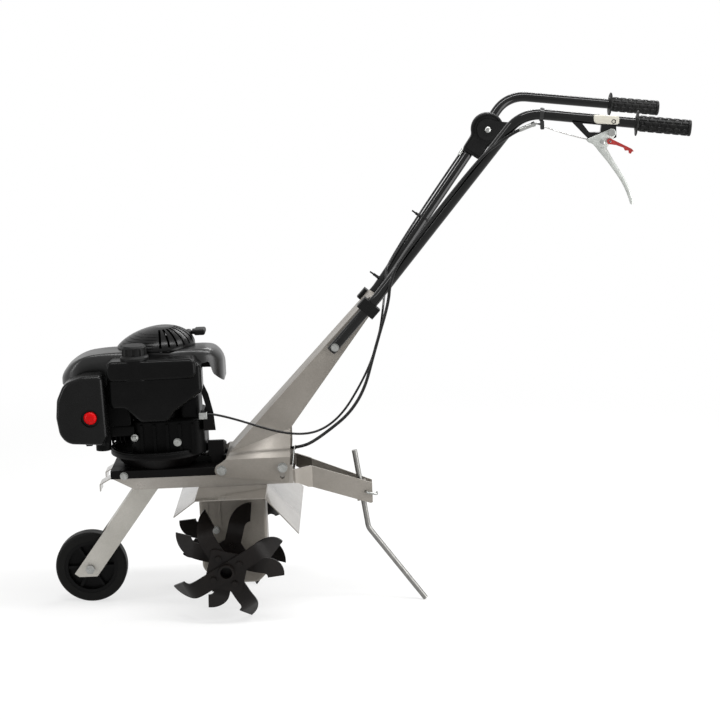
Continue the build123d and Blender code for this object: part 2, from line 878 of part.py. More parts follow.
dome_base = shroud_top
dome_levels = (0.05, 0.25, 0.45, 0.62, 0.78, 0.9, 0.97)
skirt_radius = dome_radius * sqrt(1 - dome_levels[0] ** 1.5)
skirt_x = dome_x + dome_lean * dome_levels[0]
skirt_z = blower_z + 14

with BuildPart() as blower_housing:
    add(shroud_form(0))
    add(shroud_form(shroud_wall), mode=Mode.SUBTRACT)
    with BuildSketch(level_plane(blower_z + 20, crank_x)):
        Circle(72)
    extrude(amount=100, mode=Mode.SUBTRACT)
    # room for the skirt that the dome hangs over the far shoulder
    with BuildSketch(level_plane(skirt_z, skirt_x)):
        Circle(skirt_radius + run_gap)
        with Locations((0, -dome_radius)):
            Rectangle(3 * dome_radius, 2 * dome_radius, mode=Mode.SUBTRACT)
    extrude(amount=100, mode=Mode.SUBTRACT)
    # rear lip
    with BuildSketch(side_plane(shroud_near + shroud_corner + 2)):
        with Locations((shroud_rear - 1.5, blower_z - 6)):
            Rectangle(3, 16)
    extrude(amount=shroud_near - shroud_far + 2 * shroud_corner + 4)
keep(blower_housing, "blower_housing")

rib_levels = (0.14, 0.27, 0.4, 0.52, 0.63, 0.73)


def dome_circle(share, inset):
    """Level slice of the dome at a share of its height: it narrows and leans to the rear."""
    radius = dome_radius * sqrt(1 - share ** 1.5) - inset
    plane = level_plane(dome_base + share * (dome_height - inset), dome_x + dome_lean * share)
    with BuildSketch(plane) as slice_sketch:
        Circle(radius)
    return slice_sketch.sketch


def dome_form(inset):
    """Closed dome over a short upright skirt."""
    with BuildPart() as form:
        with BuildSketch(level_plane(dome_base, skirt_x)):
            Circle(skirt_radius - inset)
        extrude(amount=dome_levels[0] * (dome_height - inset))
        loft(sections=[dome_circle(share, inset) for share in dome_levels])
    return form.part


with BuildPart() as recoil_cover:
    add(dome_form(0))
    add(dome_form(dome_wall), mode=Mode.SUBTRACT)
    # skirt over the far shoulder of the shroud
    with BuildSketch(level_plane(skirt_z, skirt_x)):
        Circle(skirt_radius)
        Circle(skirt_radius - dome_wall, mode=Mode.SUBTRACT)
        with Locations((0, 2 - dome_radius)):
            Rectangle(3 * dome_radius, 2 * dome_radius, mode=Mode.SUBTRACT)
    extrude(amount=dome_base - skirt_z)
    # level grooves round the front half leave ribs between them
    for share in rib_levels:
        slice_x = dome_x + dome_lean * share
        with BuildSketch(level_plane(dome_base + share * dome_height, slice_x)):
            Circle(dome_radius)
            Circle(dome_radius * sqrt(1 - share ** 1.5) - 0.5 * dome_wall, mode=Mode.SUBTRACT)
            with Locations((0.6 * dome_radius, 0)):
                Rectangle(1.2 * dome_radius, 3 * dome_radius, mode=Mode.SUBTRACT)
        extrude(amount=2, mode=Mode.SUBTRACT)
    # upright louvres round the rear half
    with BuildSketch(level_plane(dome_base + 7, dome_x + 0.5 * dome_lean)):
        with PolarLocations(0.68 * dome_radius, louvre_count, -84, 168, endpoint=True):
            Rectangle(0.6 * dome_radius, 5)
    extrude(amount=dome_height, mode=Mode.SUBTRACT)
keep(recoil_cover, "recoil_cover")

with BuildPart() as fuel_tank:
    with BuildSketch(side_plane(shroud_near)):
        with BuildLine():
            Polyline(
                (-240, 450),
                (-35, 450),
                (-35, 386),
                (-66, 364),
                (-97, 343),
                (-112, 322),
                (-170, 322),
                (-204, 354),
                (-240, 356),
                close=True,
            )
        make_face()
    extrude(amount=48)
    fillet(fuel_tank.edges().filter_by(Axis.Y), 14)
    fillet(fuel_tank.faces().sort_by(Axis.Y)[0].edges(), 12)
    with BuildSketch(side_plane(shroud_near)):
        with Locations((-142, 440)):
            RectangleRounded(194, 44, 14)
    extrude(amount=shroud_near - tank_near)
    fillet(fuel_tank.faces().sort_by(Axis.Y)[0].edges(), 10)
    # filler column and neck
    with BuildSketch(level_plane(418, cap_x, cap_y)):
        Circle(31)
    extrude(amount=44)
    with BuildSketch(level_plane(462, cap_x, cap_y)):
        Circle(19)
    extrude(amount=14)
keep(fuel_tank, "fuel_tank")

cap_axis = Axis((cap_x, cap_y, 0), (0, 0, 1))
with BuildPart() as fuel_cap:
    with BuildSketch(Plane(origin=(cap_x, cap_y, 0), x_dir=(1, 0, 0), z_dir=(0, -1, 0))):
        Polygon(
            (19.3, 462.3),
            (31, 462.3),
            (31, 467),
            (27, 471),
            (26, 489),
            (23, 492.5),
            (0, 493),
            (0, 478),
            (19.3, 478),
            align=None,
        )
    revolve(axis=cap_axis)
    with BuildSketch(level_plane(472, cap_x, cap_y)):
        with PolarLocations(28.5, 12):
            Circle(4.8)
    extrude(amount=15, mode=Mode.SUBTRACT)
keep(fuel_cap, "fuel_cap")

with BuildPart() as control_bracket:
    with BuildSketch(side_plane(shroud_near + 3)):
        with BuildLine():
            Polyline(
                (crankcase_rear, 290),
                (-14, 290),
                (-17, 330),
                (-26, 372),
                (-36, 396),
                (-46, 396),
                (-33, 345),
                (crankcase_rear, 330),
                close=True,
            )
        make_face()
    extrude(amount=3)
    with BuildSketch(level_plane(290, crankcase_rear + 1.5, shroud_near + 21)):
        Rectangle(3, 42)
    extrude(amount=22)
    # cable clip
    with BuildSketch(level_plane(321, -38, shroud_near - 7)):
        Rectangle(12, 14)
    extrude(amount=15)
keep(control_bracket, "control_bracket")

with BuildPart() as crankshaft:
    with BuildSketch(level_plane(belt_z - 7.5, crank_x)):
        Circle(crank_radius)
    extrude(amount=blower_z + 42 - belt_z)
keep(crankshaft, "crankshaft")

with BuildPart() as flywheel:
    with BuildSketch(level_plane(blower_z + 4, crank_x)):
        Circle(66)
    extrude(amount=12)
    with BuildSketch(level_plane(blower_z + 16, crank_x)):
        with PolarLocations(54, 14):
            Rectangle(22, 2.5, rotation=18)
        Circle(20)
    extrude(amount=24)
    with BuildSketch(level_plane(blower_z + 16, crank_x)):
        Circle(41)
        Circle(38, mode=Mode.SUBTRACT)
    extrude(amount=38)
    with BuildSketch(level_plane(0, crank_x)):
        Circle(crank_radius)
    extrude(amount=600, mode=Mode.SUBTRACT)
keep(flywheel, "flywheel")

grip_z = 494.0
grip_front = -52.0
stub_height = 11.0
grip_share = (grip_z - stub_height / 2 - dome_base) / dome_height
dome_back = dome_x + dome_lean * grip_share + dome_radius * sqrt(1 - grip_share ** 1.5)

with BuildPart() as starter_grip:
    with BuildSketch(side_plane(0, -44, grip_z)):
        RectangleRounded(25, 13, 5)
    extrude(amount=-40)
    fillet(starter_grip.faces().filter_by(Axis.Y).edges(), 4)
    with BuildSketch(Plane(origin=(grip_front, 20, grip_z), x_dir=(0, 1, 0), z_dir=(-1, 0, 0))):
        RectangleRounded(26, stub_height, 5)
    extrude(amount=grip_front - dome_back + 0.9, taper=6)
keep(starter_grip, "starter_grip")

# Belt drive between the deck and the engine


def grooved_pulley(x, radius, bore):
    """V-belt pulley on a vertical shaft."""
    with BuildPart() as pulley:
        with BuildSketch(Plane(origin=(x, 0, belt_z), x_dir=(1, 0, 0), z_dir=(0, -1, 0))):
            Polygon(
                (bore, -7.5),
                (radius, -7.5),
                (radius, -6.5),
                (radius - 9, -6),
                (radius - 9, 6),
                (radius, 6.5),
                (radius, 7.5),
                (bore, 7.5),
                align=None,
            )
        revolve(axis=Axis((x, 0, 0), (0, 0, 1)))
    return pulley.part


with BuildPart() as drive_pulley:
    add(grooved_pulley(crank_x, drive_radius, crank_radius))
keep(drive_pulley, "drive_pulley")

with BuildPart() as driven_pulley:
    add(grooved_pulley(worm_x, driven_radius, worm_shaft_radius))
keep(driven_pulley, "driven_pulley")


def belt_loop(inset):
    """Outline of the belt round both pulleys."""
    with BuildSketch() as loop:
        with Locations((crank_x, 0)):
            Circle(drive_radius - 0.5 - inset)
        with Locations((worm_x, 0)):
            Circle(driven_radius - 0.5 - inset)
        make_hull()
    return loop.sketch


with BuildPart() as drive_belt:
    with BuildSketch(level_plane(belt_z - belt_width / 2)):
        add(belt_loop(0))
        add(belt_loop(belt_thick), mode=Mode.SUBTRACT)
    extrude(amount=belt_width)
keep(drive_belt, "drive_belt")

idler_reach = hypot(idler_x - idler_pivot_x, idler_y - idler_pivot_y)
idler_lean = degrees(atan2(idler_y - idler_pivot_y, idler_x - idler_pivot_x))
arm_plane = Plane(
    origin=(idler_pivot_x, idler_pivot_y, deck_top + run_gap),
    x_dir=(cos(radians(idler_lean)), sin(radians(idler_lean)), 0),
    z_dir=(0, 0, 1),
)
with BuildPart() as idler_arm:
    with BuildSketch(arm_plane):
        with Locations((idler_reach / 2, 0)):
            SlotCenterToCenter(idler_reach, 18)
        Circle(5 + run_gap, mode=Mode.SUBTRACT)
    extrude(amount=2.8)
    with BuildSketch(arm_plane):
        with Locations((idler_reach, 0)):
            Circle(4)
    extrude(amount=17)
    with BuildSketch(arm_plane.offset(15)):
        with Locations((idler_reach, 0)):
            Circle(7)
    extrude(amount=2)
keep(idler_arm, "idler_arm")

with BuildPart() as idler_pulley:
    with BuildSketch(level_plane(belt_z - belt_width / 2, idler_x, idler_y)):
        Circle(idler_radius)
        Circle(4 + run_gap, mode=Mode.SUBTRACT)
    extrude(amount=belt_width)
keep(idler_pulley, "idler_pulley")

# Front wheel on its folding fork

wheel_z = floor_gap(wheel_x, wheel_radius)
arm_length = hypot(wheel_x - fork_pivot_x, wheel_z - fork_pivot_z)
arm_dir = ((wheel_x - fork_pivot_x) / arm_length, 0, (wheel_z - fork_pivot_z) / arm_length)


bridge_start = 25.0
bridge_end = arm_length - wheel_radius - 18.0


def fork_plane(y):
    """Plane along the fork: local x runs from the pivot to the wheel axle."""
    return Plane(origin=(fork_pivot_x, y, fork_pivot_z), x_dir=arm_dir, z_dir=(0, -1, 0))


with BuildPart() as wheel_fork:
    for side in (-1, 1):
        with BuildSketch(fork_plane(side * (fork_half - fork_sheet / 2))):
            Circle(fork_width / 2)
            with Locations((arm_length / 2 + 15, 0)):
                Rectangle(arm_length + 30, fork_width)
            Circle(wheel_axle_radius + run_gap, mode=Mode.SUBTRACT)
            with Locations((arm_length, 0)):
                Circle(wheel_axle_radius + 0.1, mode=Mode.SUBTRACT)
        extrude(amount=fork_sheet / 2, both=True)
    with BuildSketch(fork_plane(0)):
        with Locations(((bridge_start + bridge_end) / 2, -fork_width / 2 + fork_sheet / 2)):
            Rectangle(bridge_end - bridge_start, fork_sheet)
    extrude(amount=fork_half - fork_sheet / 2, both=True)
    # lower ends cut level
    with BuildSketch(side_plane(0)):
        with Locations((wheel_x, wheel_z - 68)):
            Rectangle(200, 100)
    extrude(amount=100, both=True, mode=Mode.SUBTRACT)
keep(wheel_fork, "wheel_fork")

with BuildPart() as wheel_axle:
    add(post(wheel_x, -fork_half, wheel_z, wheel_axle_radius, 2 * fork_half + 8, (0, 1, 0)))
    with BuildSketch(side_plane(-fork_half, wheel_x, wheel_z)):
        RegularPolygon(9.5, 6, major_radius=False)
    extrude(amount=8)
    with BuildSketch(side_plane(fork_half, wheel_x, wheel_z)):
        RegularPolygon(9.5, 6, major_radius=False)
    extrude(amount=-8)
keep(wheel_axle, "wheel_axle")

wheel_axis = Axis((wheel_x, 0, wheel_z), (0, 1, 0))
wheel_plane = Plane(origin=(wheel_x, 0, wheel_z), x_dir=(1, 0, 0), z_dir=(0, 0, 1))

with BuildPart() as wheel_tyre:
    with BuildSketch(wheel_plane) as tyre_section:
        with Locations(((rim_radius + wheel_radius) / 2, 0)):
            Rectangle(wheel_radius - rim_radius, wheel_width)
        fillet(tyre_section.vertices().group_by(Axis.X)[-1], 7)
    revolve(axis=wheel_axis)
keep(wheel_tyre, "wheel_tyre")

with BuildPart() as wheel_rim:
    with BuildSketch(wheel_plane):
        with Locations((rim_radius - 4, 0)):
            Rectangle(8, wheel_width - 2)
        with Locations((11 + (wheel_axle_radius + run_gap) / 2, 0)):
            Rectangle(22 - wheel_axle_radius - run_gap, 2 * (fork_half - fork_sheet) - 1)
        with Locations((37, 0)):
            Rectangle(34, 8)
    revolve(axis=wheel_axis)
    for number in range(6):
        with BuildSketch(side_plane(0, wheel_x, wheel_z)):
            with Locations(Rotation(0, 0, 60 * number)):
                with Locations((37, 0)):
                    Rectangle(34, 6)
        extrude(amount=wheel_width / 2 - 5, both=True)
keep(wheel_rim, "wheel_rim")

# Rear hitch and skid bar

skid_run = (skid_bend[0] - skid_top[0], skid_bend[1] - skid_top[1])
skid_len = hypot(*skid_run)
skid_dir = (skid_run[0] / skid_len, 0, skid_run[1] / skid_len)
foot_drop = floor_gap(skid_foot_x, 0) - skid_bend[1]
foot_lean = radians(nose_down) - atan2(foot_drop, skid_foot_x - skid_bend[0])
skid_foot_z = floor_gap(skid_foot_x, skid_radius * cos(foot_lean))
sleeve_x = skid_top[0] + skid_run[0] * (skid_top[1] - skid_pin_z) / (skid_top[1] - skid_bend[1])

with BuildPart() as skid_bar:
    add(
        tube_along(
            [(skid_top[0], 0, skid_top[1]), (skid_bend[0], 0, skid_bend[1]), (skid_foot_x, 0, skid_foot_z)],
            30,
            skid_radius,
        )
    )
keep(skid_bar, "skid_bar")


def hitch_plate(side):
    """One joggled cheek of the hitch, from inside the pan to the skid sleeve."""
    outer = pan_half - sheet - hitch_sheet / 2
    with BuildPart() as cheek:
        with BuildSketch(level_plane(60)):
            with BuildLine():
                Polyline((112, side * outer), (154, side * outer), (190, side * 34), (322, side * 13))
            trace(line_width=hitch_sheet)
        extrude(amount=160)
        with BuildSketch(side_plane(0)):
            Polygon(
                (112, pan_bottom + sheet),
                (112, 194),
                (150, 194),
                (187, 191),
                (313, 144),
                (324, 140),
                (326, 97),
                (318, 94),
                (182, 145),
                (160, 161),
                (151, 164),
                (151, pan_bottom + sheet),
                align=None,
            )
        extrude(amount=200, both=True, mode=Mode.INTERSECT)
    return cheek.part


with BuildPart() as hitch_bracket:
    for side in (-1, 1):
        add(hitch_plate(side))
    with BuildSketch(Plane(origin=(sleeve_x, 0, skid_pin_z), x_dir=(0, 1, 0), z_dir=skid_dir)):
        RectangleRounded(28, 26, 3)
    extrude(amount=21, both=True)
    with BuildSketch(Plane(origin=(sleeve_x, 0, skid_pin_z), x_dir=(0, 1, 0), z_dir=skid_dir)):
        Circle(skid_radius + run_gap)
    extrude(amount=60, both=True, mode=Mode.SUBTRACT)
    with BuildSketch(side_plane(0)):
        with Locations((sleeve_x + 9.6, skid_pin_z)):
            Circle(2.5 + 0.2)
    extrude(amount=60, both=True, mode=Mode.SUBTRACT)
keep(hitch_bracket, "hitch_bracket")

with BuildPart() as skid_pin:
    add(tube_along(
        [
            (sleeve_x + 9.6, 24, skid_pin_z),
            (sleeve_x + 9.6, -26, skid_pin_z),
            (sleeve_x + 34, -26, skid_pin_z - 6),
            (sleeve_x + 34, -6, skid_pin_z - 6),
        ],
        6,
        2.5,
    ))
keep(skid_pin, "skid_pin")

# Handle column and handle bars


def cross_section(front, rear, half, front_in, rear_in):
    """Rectangle across the column between its front and rear edges."""
    length = hypot(rear[0] - front[0], rear[1] - front[1])
    along = ((rear[0] - front[0]) / length, 0, (rear[1] - front[1]) / length)
    start = front_in
    end = length - rear_in
    middle = (start + end) / 2
    centre = (front[0] + along[0] * middle, 0, front[1] + along[2] * middle)
    with BuildSketch(Plane(origin=centre, x_dir=along, z_dir=(-along[2], 0, along[0]))) as section:
        Rectangle(end - start, 2 * half)
    return section.sketch


def column_body(front_in, rear_in, wall, drop):
    """Tapered column from the wide foot to its narrow top."""
    low = cross_section((4, foot_line - drop), (146, foot_line - drop), foot_out - wall, front_in, rear_in)
    fold = cross_section(fold_front, fold_rear, column_half - wall, 1.2 * front_in, rear_in)
    top = cross_section(
        (top_front[0] - wall, top_front[1] - wall),
        (top_rear[0] - wall, top_rear[1] - wall),
        column_half - wall,
        front_in,
        rear_in,
    )
    with BuildPart() as body:
        loft(sections=[low, fold], ruled=True)
        loft(sections=[fold, top], ruled=True)
    return body.part


with BuildPart() as column:
    add(column_body(0, 0, 0, 0))
    add(column_body(5, -14, sheet, 0.01), mode=Mode.SUBTRACT)
    for side in (-1, 1):
        with BuildSketch(side_plane(side * (foot_in + sheet / 2))):
            with Locations((hinge_x, hinge_z)):
                Circle(15)
            Polygon(
                (hinge_x - 2, hinge_z - 14.8),
                (141, 167),
                (146, foot_line + 0.5),
                (4, foot_line + 0.5),
                (hinge_x - 11, hinge_z + 10),
                align=None,
            )
            with Locations((hinge_x, hinge_z)):
                Circle(5 + run_gap, mode=Mode.SUBTRACT)
            # the height slot runs down from the rear bolt
            with BuildLine(mode=Mode.PRIVATE) as sweep_arc:
                CenterArc(
                    (hinge_x, hinge_z),
                    rear_bolt_x - hinge_x,
                    degrees(atan2(rear_bolt_z - hinge_z, rear_bolt_x - hinge_x)) - tilt_range,
                    tilt_range,
                )
            SlotArc(sweep_arc.edges()[0], 10 + 2 * run_gap, mode=Mode.SUBTRACT)
        extrude(amount=sheet / 2, both=True)
    with BuildSketch(side_plane(0)):
        with Locations(bar_bolt):
            Circle(bar_bolt_size / 2 + 0.2)
    extrude(amount=column_half + 10, both=True, mode=Mode.SUBTRACT)
keep(column, "column")


def bar_points(side):
    """Run of one handle bar: beside the column, flaring out, then back to the hand."""
    return [
        (bar_start[0], side * knee_y, bar_start[1]),
        (bar_knee[0], side * knee_y, bar_knee[1]),
        (bar_corner[0], side * corner_y, bar_corner[1]),
        (bar_end[0], side * grip_y, bar_end[1]),
    ]


def handle_tube(side):
    """Bent steel tube with the cross hole for its lower bolt."""
    with BuildPart() as tube:
        with BuildLine() as run:
            FilletPolyline(*bar_points(side), radius=[40, bar_bend])
        with BuildSketch(Plane(origin=run.line @ 0, z_dir=run.line % 0)):
            Circle(tube_radius)
            Circle(tube_radius - tube_wall, mode=Mode.SUBTRACT)
        sweep(path=run.line)
        with BuildSketch(side_plane(0)):
            with Locations(bar_bolt):
                Circle(bar_bolt_size / 2 + 0.2)
        extrude(amount=2 * knee_y, both=True, mode=Mode.SUBTRACT)
    return tube.part


with BuildPart() as handlebar_left:
    add(handle_tube(-1))
keep(handlebar_left, "handlebar_left")

with BuildPart() as handlebar_right:
    add(handle_tube(1))
keep(handlebar_right, "handlebar_right")

grip_run = (bar_end[0] - bar_corner[0], grip_y - corner_y, bar_end[1] - bar_corner[1])
grip_len = sqrt(sum(step * step for step in grip_run))


def hand_grip(side):
    """Rubber grip with a hand stop flange, pushed on the bar end."""
    back = (-grip_run[0] / grip_len, -side * grip_run[1] / grip_len, -grip_run[2] / grip_len)
    end = Plane(origin=(bar_end[0], side * grip_y, bar_end[1]), z_dir=back)
    with BuildPart() as grip:
        with BuildSketch(end.offset(-5)):
            Circle(grip_radius)
        extrude(amount=grip_length)
        fillet(grip.edges().sort_by(Axis.X)[-1], 4)
        with BuildSketch(end.offset(grip_length - 10)):
            Circle(grip_flange)
        extrude(amount=6)
        with BuildSketch(end):
            Circle(tube_radius)
        extrude(amount=grip_length + 10, mode=Mode.SUBTRACT)
    return grip.part


with BuildPart() as handle_grips:
    for side in (-1, 1):
        add(hand_grip(side))
keep(handle_grips, "handle_grips")

knee_len = hypot(bar_knee[0] - bar_start[0], bar_knee[1] - bar_start[1])
knee_dir = ((bar_knee[0] - bar_start[0]) / knee_len, 0, (bar_knee[1] - bar_start[1]) / knee_len)
clamp_x = bar_knee[0] - 30 * knee_dir[0]
clamp_z = bar_knee[1] - 30 * knee_dir[2]

with BuildPart() as handlebar_clamps:
    for side in (-1, 1):
        middle = (column_half + knee_y + tube_radius + 4) / 2
        deep = knee_y + tube_radius + 4 - column_half
        with BuildSketch(Plane(origin=(clamp_x, side * middle, clamp_z), x_dir=(0, 1, 0), z_dir=knee_dir)):
            RectangleRounded(deep, 44, 3)
            with Locations((side * (knee_y - middle), 0)):
                Circle(tube_radius, mode=Mode.SUBTRACT)
        extrude(amount=13, both=True)
keep(handlebar_clamps, "handlebar_clamps")

# Clutch lever on the left bar


def upper_run(x):
    """Height and offset of the bar's hand run at a given x."""
    share = (x - bar_corner[0]) / (bar_end[0] - bar_corner[0])
    return (
        corner_y + share * (grip_y - corner_y),
        bar_corner[1] + share * (bar_end[1] - bar_corner[1]),
    )


lever_y = -upper_run(lever_x)[0]
run_dir = (grip_run[0] / grip_len, -grip_run[1] / grip_len, grip_run[2] / grip_len)
bar_corner_up = (bar_corner[0], -corner_y, bar_corner[1] + 1.5 * tube_radius)
catch_x = lever_x - 4
catch_z = lever_z - 17
catch_thick = 4.0

with BuildPart() as lever_bracket:
    with BuildSketch(side_plane(lever_y)):
        Polygon(
            (764, bar_corner[1]),
            (lever_x + 10, bar_corner[1] - 10),
            (lever_x + 10, lever_z - 10),
            (797, lever_z - 9.5),
            align=None,
        )
        Polygon((786.6, 940.7), (825.5, 937), (823, 920.7), (800.5, 921.7), align=None, mode=Mode.SUBTRACT)
        with Locations((lever_x, lever_z)):
            Circle(lever_pin_radius + 0.1, mode=Mode.SUBTRACT)
    extrude(amount=bracket_half, both=True)
    with BuildSketch(Plane(origin=(bar_corner[0], -corner_y, bar_corner[1]), z_dir=run_dir)):
        Circle(tube_radius)
    extrude(amount=400, mode=Mode.SUBTRACT)
    # what is left above the tube is cut away
    with BuildSketch(Plane(origin=(bar_corner[0], -corner_y, bar_corner[1]), z_dir=run_dir)) as above:
        with Locations(above.workplanes[0].to_local_coords(Vector(*bar_corner_up))):
            Rectangle(60, 2 * tube_radius)
    extrude(amount=400, mode=Mode.SUBTRACT)
keep(lever_bracket, "lever_bracket")

cheek_in = bracket_half + run_gap
cheek_out = cheek_in + cheek_thick
lever_heel = (lever_x + 2, lever_z - 53)

with BuildPart() as clutch_lever:
    # two cheeks that straddle the bracket
    for side in (-1, 1):
        with BuildSketch(side_plane(lever_y + side * (cheek_in + cheek_thick / 2))):
            with Locations((lever_x, lever_z)):
                Circle(9)
            with Locations(cable_eye):
                Circle(6)
            with Locations(lever_heel):
                Circle(lever_width / 2)
            make_hull()
            with Locations((lever_x, lever_z)):
                Circle(lever_pin_radius + run_gap, mode=Mode.SUBTRACT)
            with Locations((lever_x - 14, lever_z - 16)):
                Circle(3.5, mode=Mode.SUBTRACT)
        extrude(amount=cheek_thick / 2, both=True)
    # finger arm
    with BuildSketch(side_plane(lever_y)):
        with BuildLine():
            ThreePointArc((lever_x - 6, lever_z - 30), (lever_x + 14, lever_z - 71), lever_tip)
        trace(line_width=lever_width)
        with Locations(lever_tip):
            Circle(lever_width / 2)
    extrude(amount=cheek_out - 1, both=True)
    # cable pin between the cheeks
    with BuildSketch(side_plane(lever_y)):
        with Locations(cable_eye):
            Circle(2.5)
    extrude(amount=cheek_out - 1, both=True)
    # catch pivot on the near cheek
    with BuildSketch(side_plane(lever_y - cheek_out + 1)):
        with Locations((catch_x, catch_z)):
            Circle(2.5)
    extrude(amount=catch_thick + 3)
keep(clutch_lever, "clutch_lever")

with BuildPart() as safety_catch:
    with BuildSketch(side_plane(lever_y - cheek_out - run_gap)):
        with Locations((catch_x, catch_z)):
            Circle(6)
        Polygon(
            (catch_x + 1, catch_z + 6),
            (catch_x + 20, catch_z - 4),
            (catch_x + 44, catch_z - 17),
            (catch_x + 48, catch_z - 22),
            (catch_x + 44, catch_z - 23),
            (catch_x + 42, catch_z - 27),
            (catch_x + 38, catch_z - 26),
            (catch_x + 37, catch_z - 20),
            (catch_x + 30, catch_z - 20),
            (catch_x + 27, catch_z - 14),
            (catch_x + 12, catch_z - 8),
            (catch_x - 2, catch_z - 5.5),
            align=None,
        )
        with Locations((catch_x, catch_z)):
            Circle(2.5 + run_gap, mode=Mode.SUBTRACT)
    extrude(amount=catch_thick)
keep(safety_catch, "safety_catch")

# Plain plate on the bar above the lever

plate_start = 810.0
plate_length = 51.0
plate_y, plate_z = upper_run(plate_start)

with BuildPart() as lever_plate:
    with BuildSketch(Plane(origin=(plate_start, -plate_y, plate_z), x_dir=(0, 0, 1), z_dir=run_dir)):
        with Locations((0, tube_radius + 1)):
            RectangleRounded(20, 5, 2)
        Circle(tube_radius, mode=Mode.SUBTRACT)
    extrude(amount=plate_length)
keep(lever_plate, "lever_plate")

# Cable adjuster in its clip on the left bar

clip_y, clip_z = upper_run(clip_x)
clip_point = (clip_x, -clip_y - 4, clip_z - 20)

with BuildPart() as cable_adjuster:
    barrel = (
        adjuster_end[0] - adjuster_start[0],
        adjuster_end[1] - adjuster_start[1],
        adjuster_end[2] - adjuster_start[2],
    )
    stem = (
        clip_point[0] - adjuster_end[0],
        clip_point[1] - adjuster_end[1],
        clip_point[2] - adjuster_end[2],
    )
    add(post(*adjuster_start, adjuster_radius, sqrt(sum(step * step for step in barrel)), barrel))
    add(post(*adjuster_end, 2, sqrt(sum(step * step for step in stem)), stem))
    with BuildSketch(Plane(origin=adjuster_end, z_dir=barrel)):
        RegularPolygon(adjuster_radius + 1, 6)
    extrude(amount=-6)
    # clip band round the bar, with a tab that holds the stem
    with BuildSketch(Plane(origin=(clip_x, -clip_y, clip_z), z_dir=run_dir)):
        Circle(tube_radius + 3)
        Circle(tube_radius + 0.6, mode=Mode.SUBTRACT)
    extrude(amount=4, both=True)
    with BuildSketch(side_plane(clip_point[1], clip_x, clip_z - 21.5)):
        RectangleRounded(8, 18, 2)
    extrude(amount=4, both=True)
keep(cable_adjuster, "cable_adjuster")

# Throttle on the right bar

flare_run = (bar_corner[0] - bar_knee[0], corner_y - knee_y, bar_corner[1] - bar_knee[1])
flare_len = sqrt(sum(step * step for step in flare_run))
flare_dir = tuple(step / flare_len for step in flare_run)


def flare_point(share, side, off, out=0.0):
    """Point beside the flared run of a bar, pushed off to its lower rear and to its outer side."""
    slope = hypot(flare_run[0], flare_run[2])
    rear_x = flare_run[2] / slope
    rear_z = -flare_run[0] / slope
    return (
        bar_knee[0] + share * flare_run[0] + off * rear_x + out * rear_z * flare_dir[1],
        side * (knee_y + share * flare_run[1] + out * slope / flare_len),
        bar_knee[1] + share * flare_run[2] + off * rear_z - out * rear_x * flare_dir[1],
    )


throttle_x, throttle_bar_y, throttle_z = flare_point(throttle_share, 1, throttle_drop)
throttle_y = throttle_bar_y - 2 * tube_radius - 2

with BuildPart() as throttle_housing:
    with BuildSketch(side_plane(throttle_y + 11)):
        with Locations((throttle_x, throttle_z)):
            Circle(throttle_radius)
        with BuildLine():
            Line((throttle_x, throttle_z), (throttle_x - 30, throttle_z - 50))
        trace(line_width=22)
    extrude(amount=26)
    fillet(throttle_housing.faces().sort_by(Axis.Y)[0].edges(), 3)
    with BuildSketch(side_plane(throttle_y + 11)):
        with Locations((throttle_x, throttle_z + 4)):
            Rectangle(44, 44)
    extrude(amount=-30)
    with BuildSketch(Plane(origin=flare_point(0, 1, 0), z_dir=flare_dir)):
        Circle(tube_radius)
    extrude(amount=flare_len, mode=Mode.SUBTRACT)
    with BuildSketch(side_plane(throttle_y - 15)):
        with Locations((throttle_x, throttle_z)):
            Circle(4)
    extrude(amount=9)
keep(throttle_housing, "throttle_housing")

with BuildPart() as throttle_lever:
    with BuildSketch(side_plane(throttle_y - 15 - run_gap)):
        with Locations((throttle_x, throttle_z)):
            Circle(24)
        Polygon(
            (throttle_x + 4, throttle_z + 20),
            (throttle_x + 48, throttle_z + 14),
            (throttle_x + 56, throttle_z + 6),
            (throttle_x + 50, throttle_z - 6),
            (throttle_x + 6, throttle_z - 20),
            align=None,
        )
        with Locations((throttle_x, throttle_z)):
            Circle(4 + run_gap, mode=Mode.SUBTRACT)
    extrude(amount=6)
keep(throttle_lever, "throttle_lever")

# Control cables along their routes

clutch_off = tube_radius + 6
sheath_share = 1.3
sheath_corner = tuple(
    (1 - sheath_share) * end + sheath_share * start for start, end in zip(adjuster_start, adjuster_end)
)
with BuildPart() as clutch_cable:
    add(
        tube_along(
            [
                adjuster_start,
                sheath_corner,
                flare_point(0.87, -1, 0, clutch_off + 1.5),
                flare_point(0.75, -1, -0.8 * clutch_off, 0.6 * clutch_off),
                flare_point(0.2, -1, -0.8 * clutch_off, 0.6 * clutch_off),
                flare_point(0.1, -1, 0, clutch_off),
                (375, -84, 555),
                (346, -86, 470),
                (305, -88, 335),
                (205, -82, 258),
                (165, -50, 236),
                (129, -50, 236),
            ],
            [20, 40, 60, 60, 40, 40, 120, 90, 60, 30],
            3.5,
        )
    )
keep(clutch_cable, "clutch_cable")

throttle_off = tube_radius + 3
with BuildPart() as throttle_cable:
    add(
        tube_along(
            [
                flare_point(0.745, 1, -throttle_off),
                flare_point(0.12, 1, -throttle_off - 3),
                (372, 20, 590),
                (362, -40, 530),
                (352, -60, 480),
                (322, -74, 400),
                (250, -74, 290),
                (160, -86, 266),
                (-6, -85, 328.5),
                (-31.7, -85, 328.5),
            ],
            [40, 60, 60, 70, 70, 60, 60, 60],
            2.5,
        )
    )
keep(throttle_cable, "throttle_cable")

# Bolts

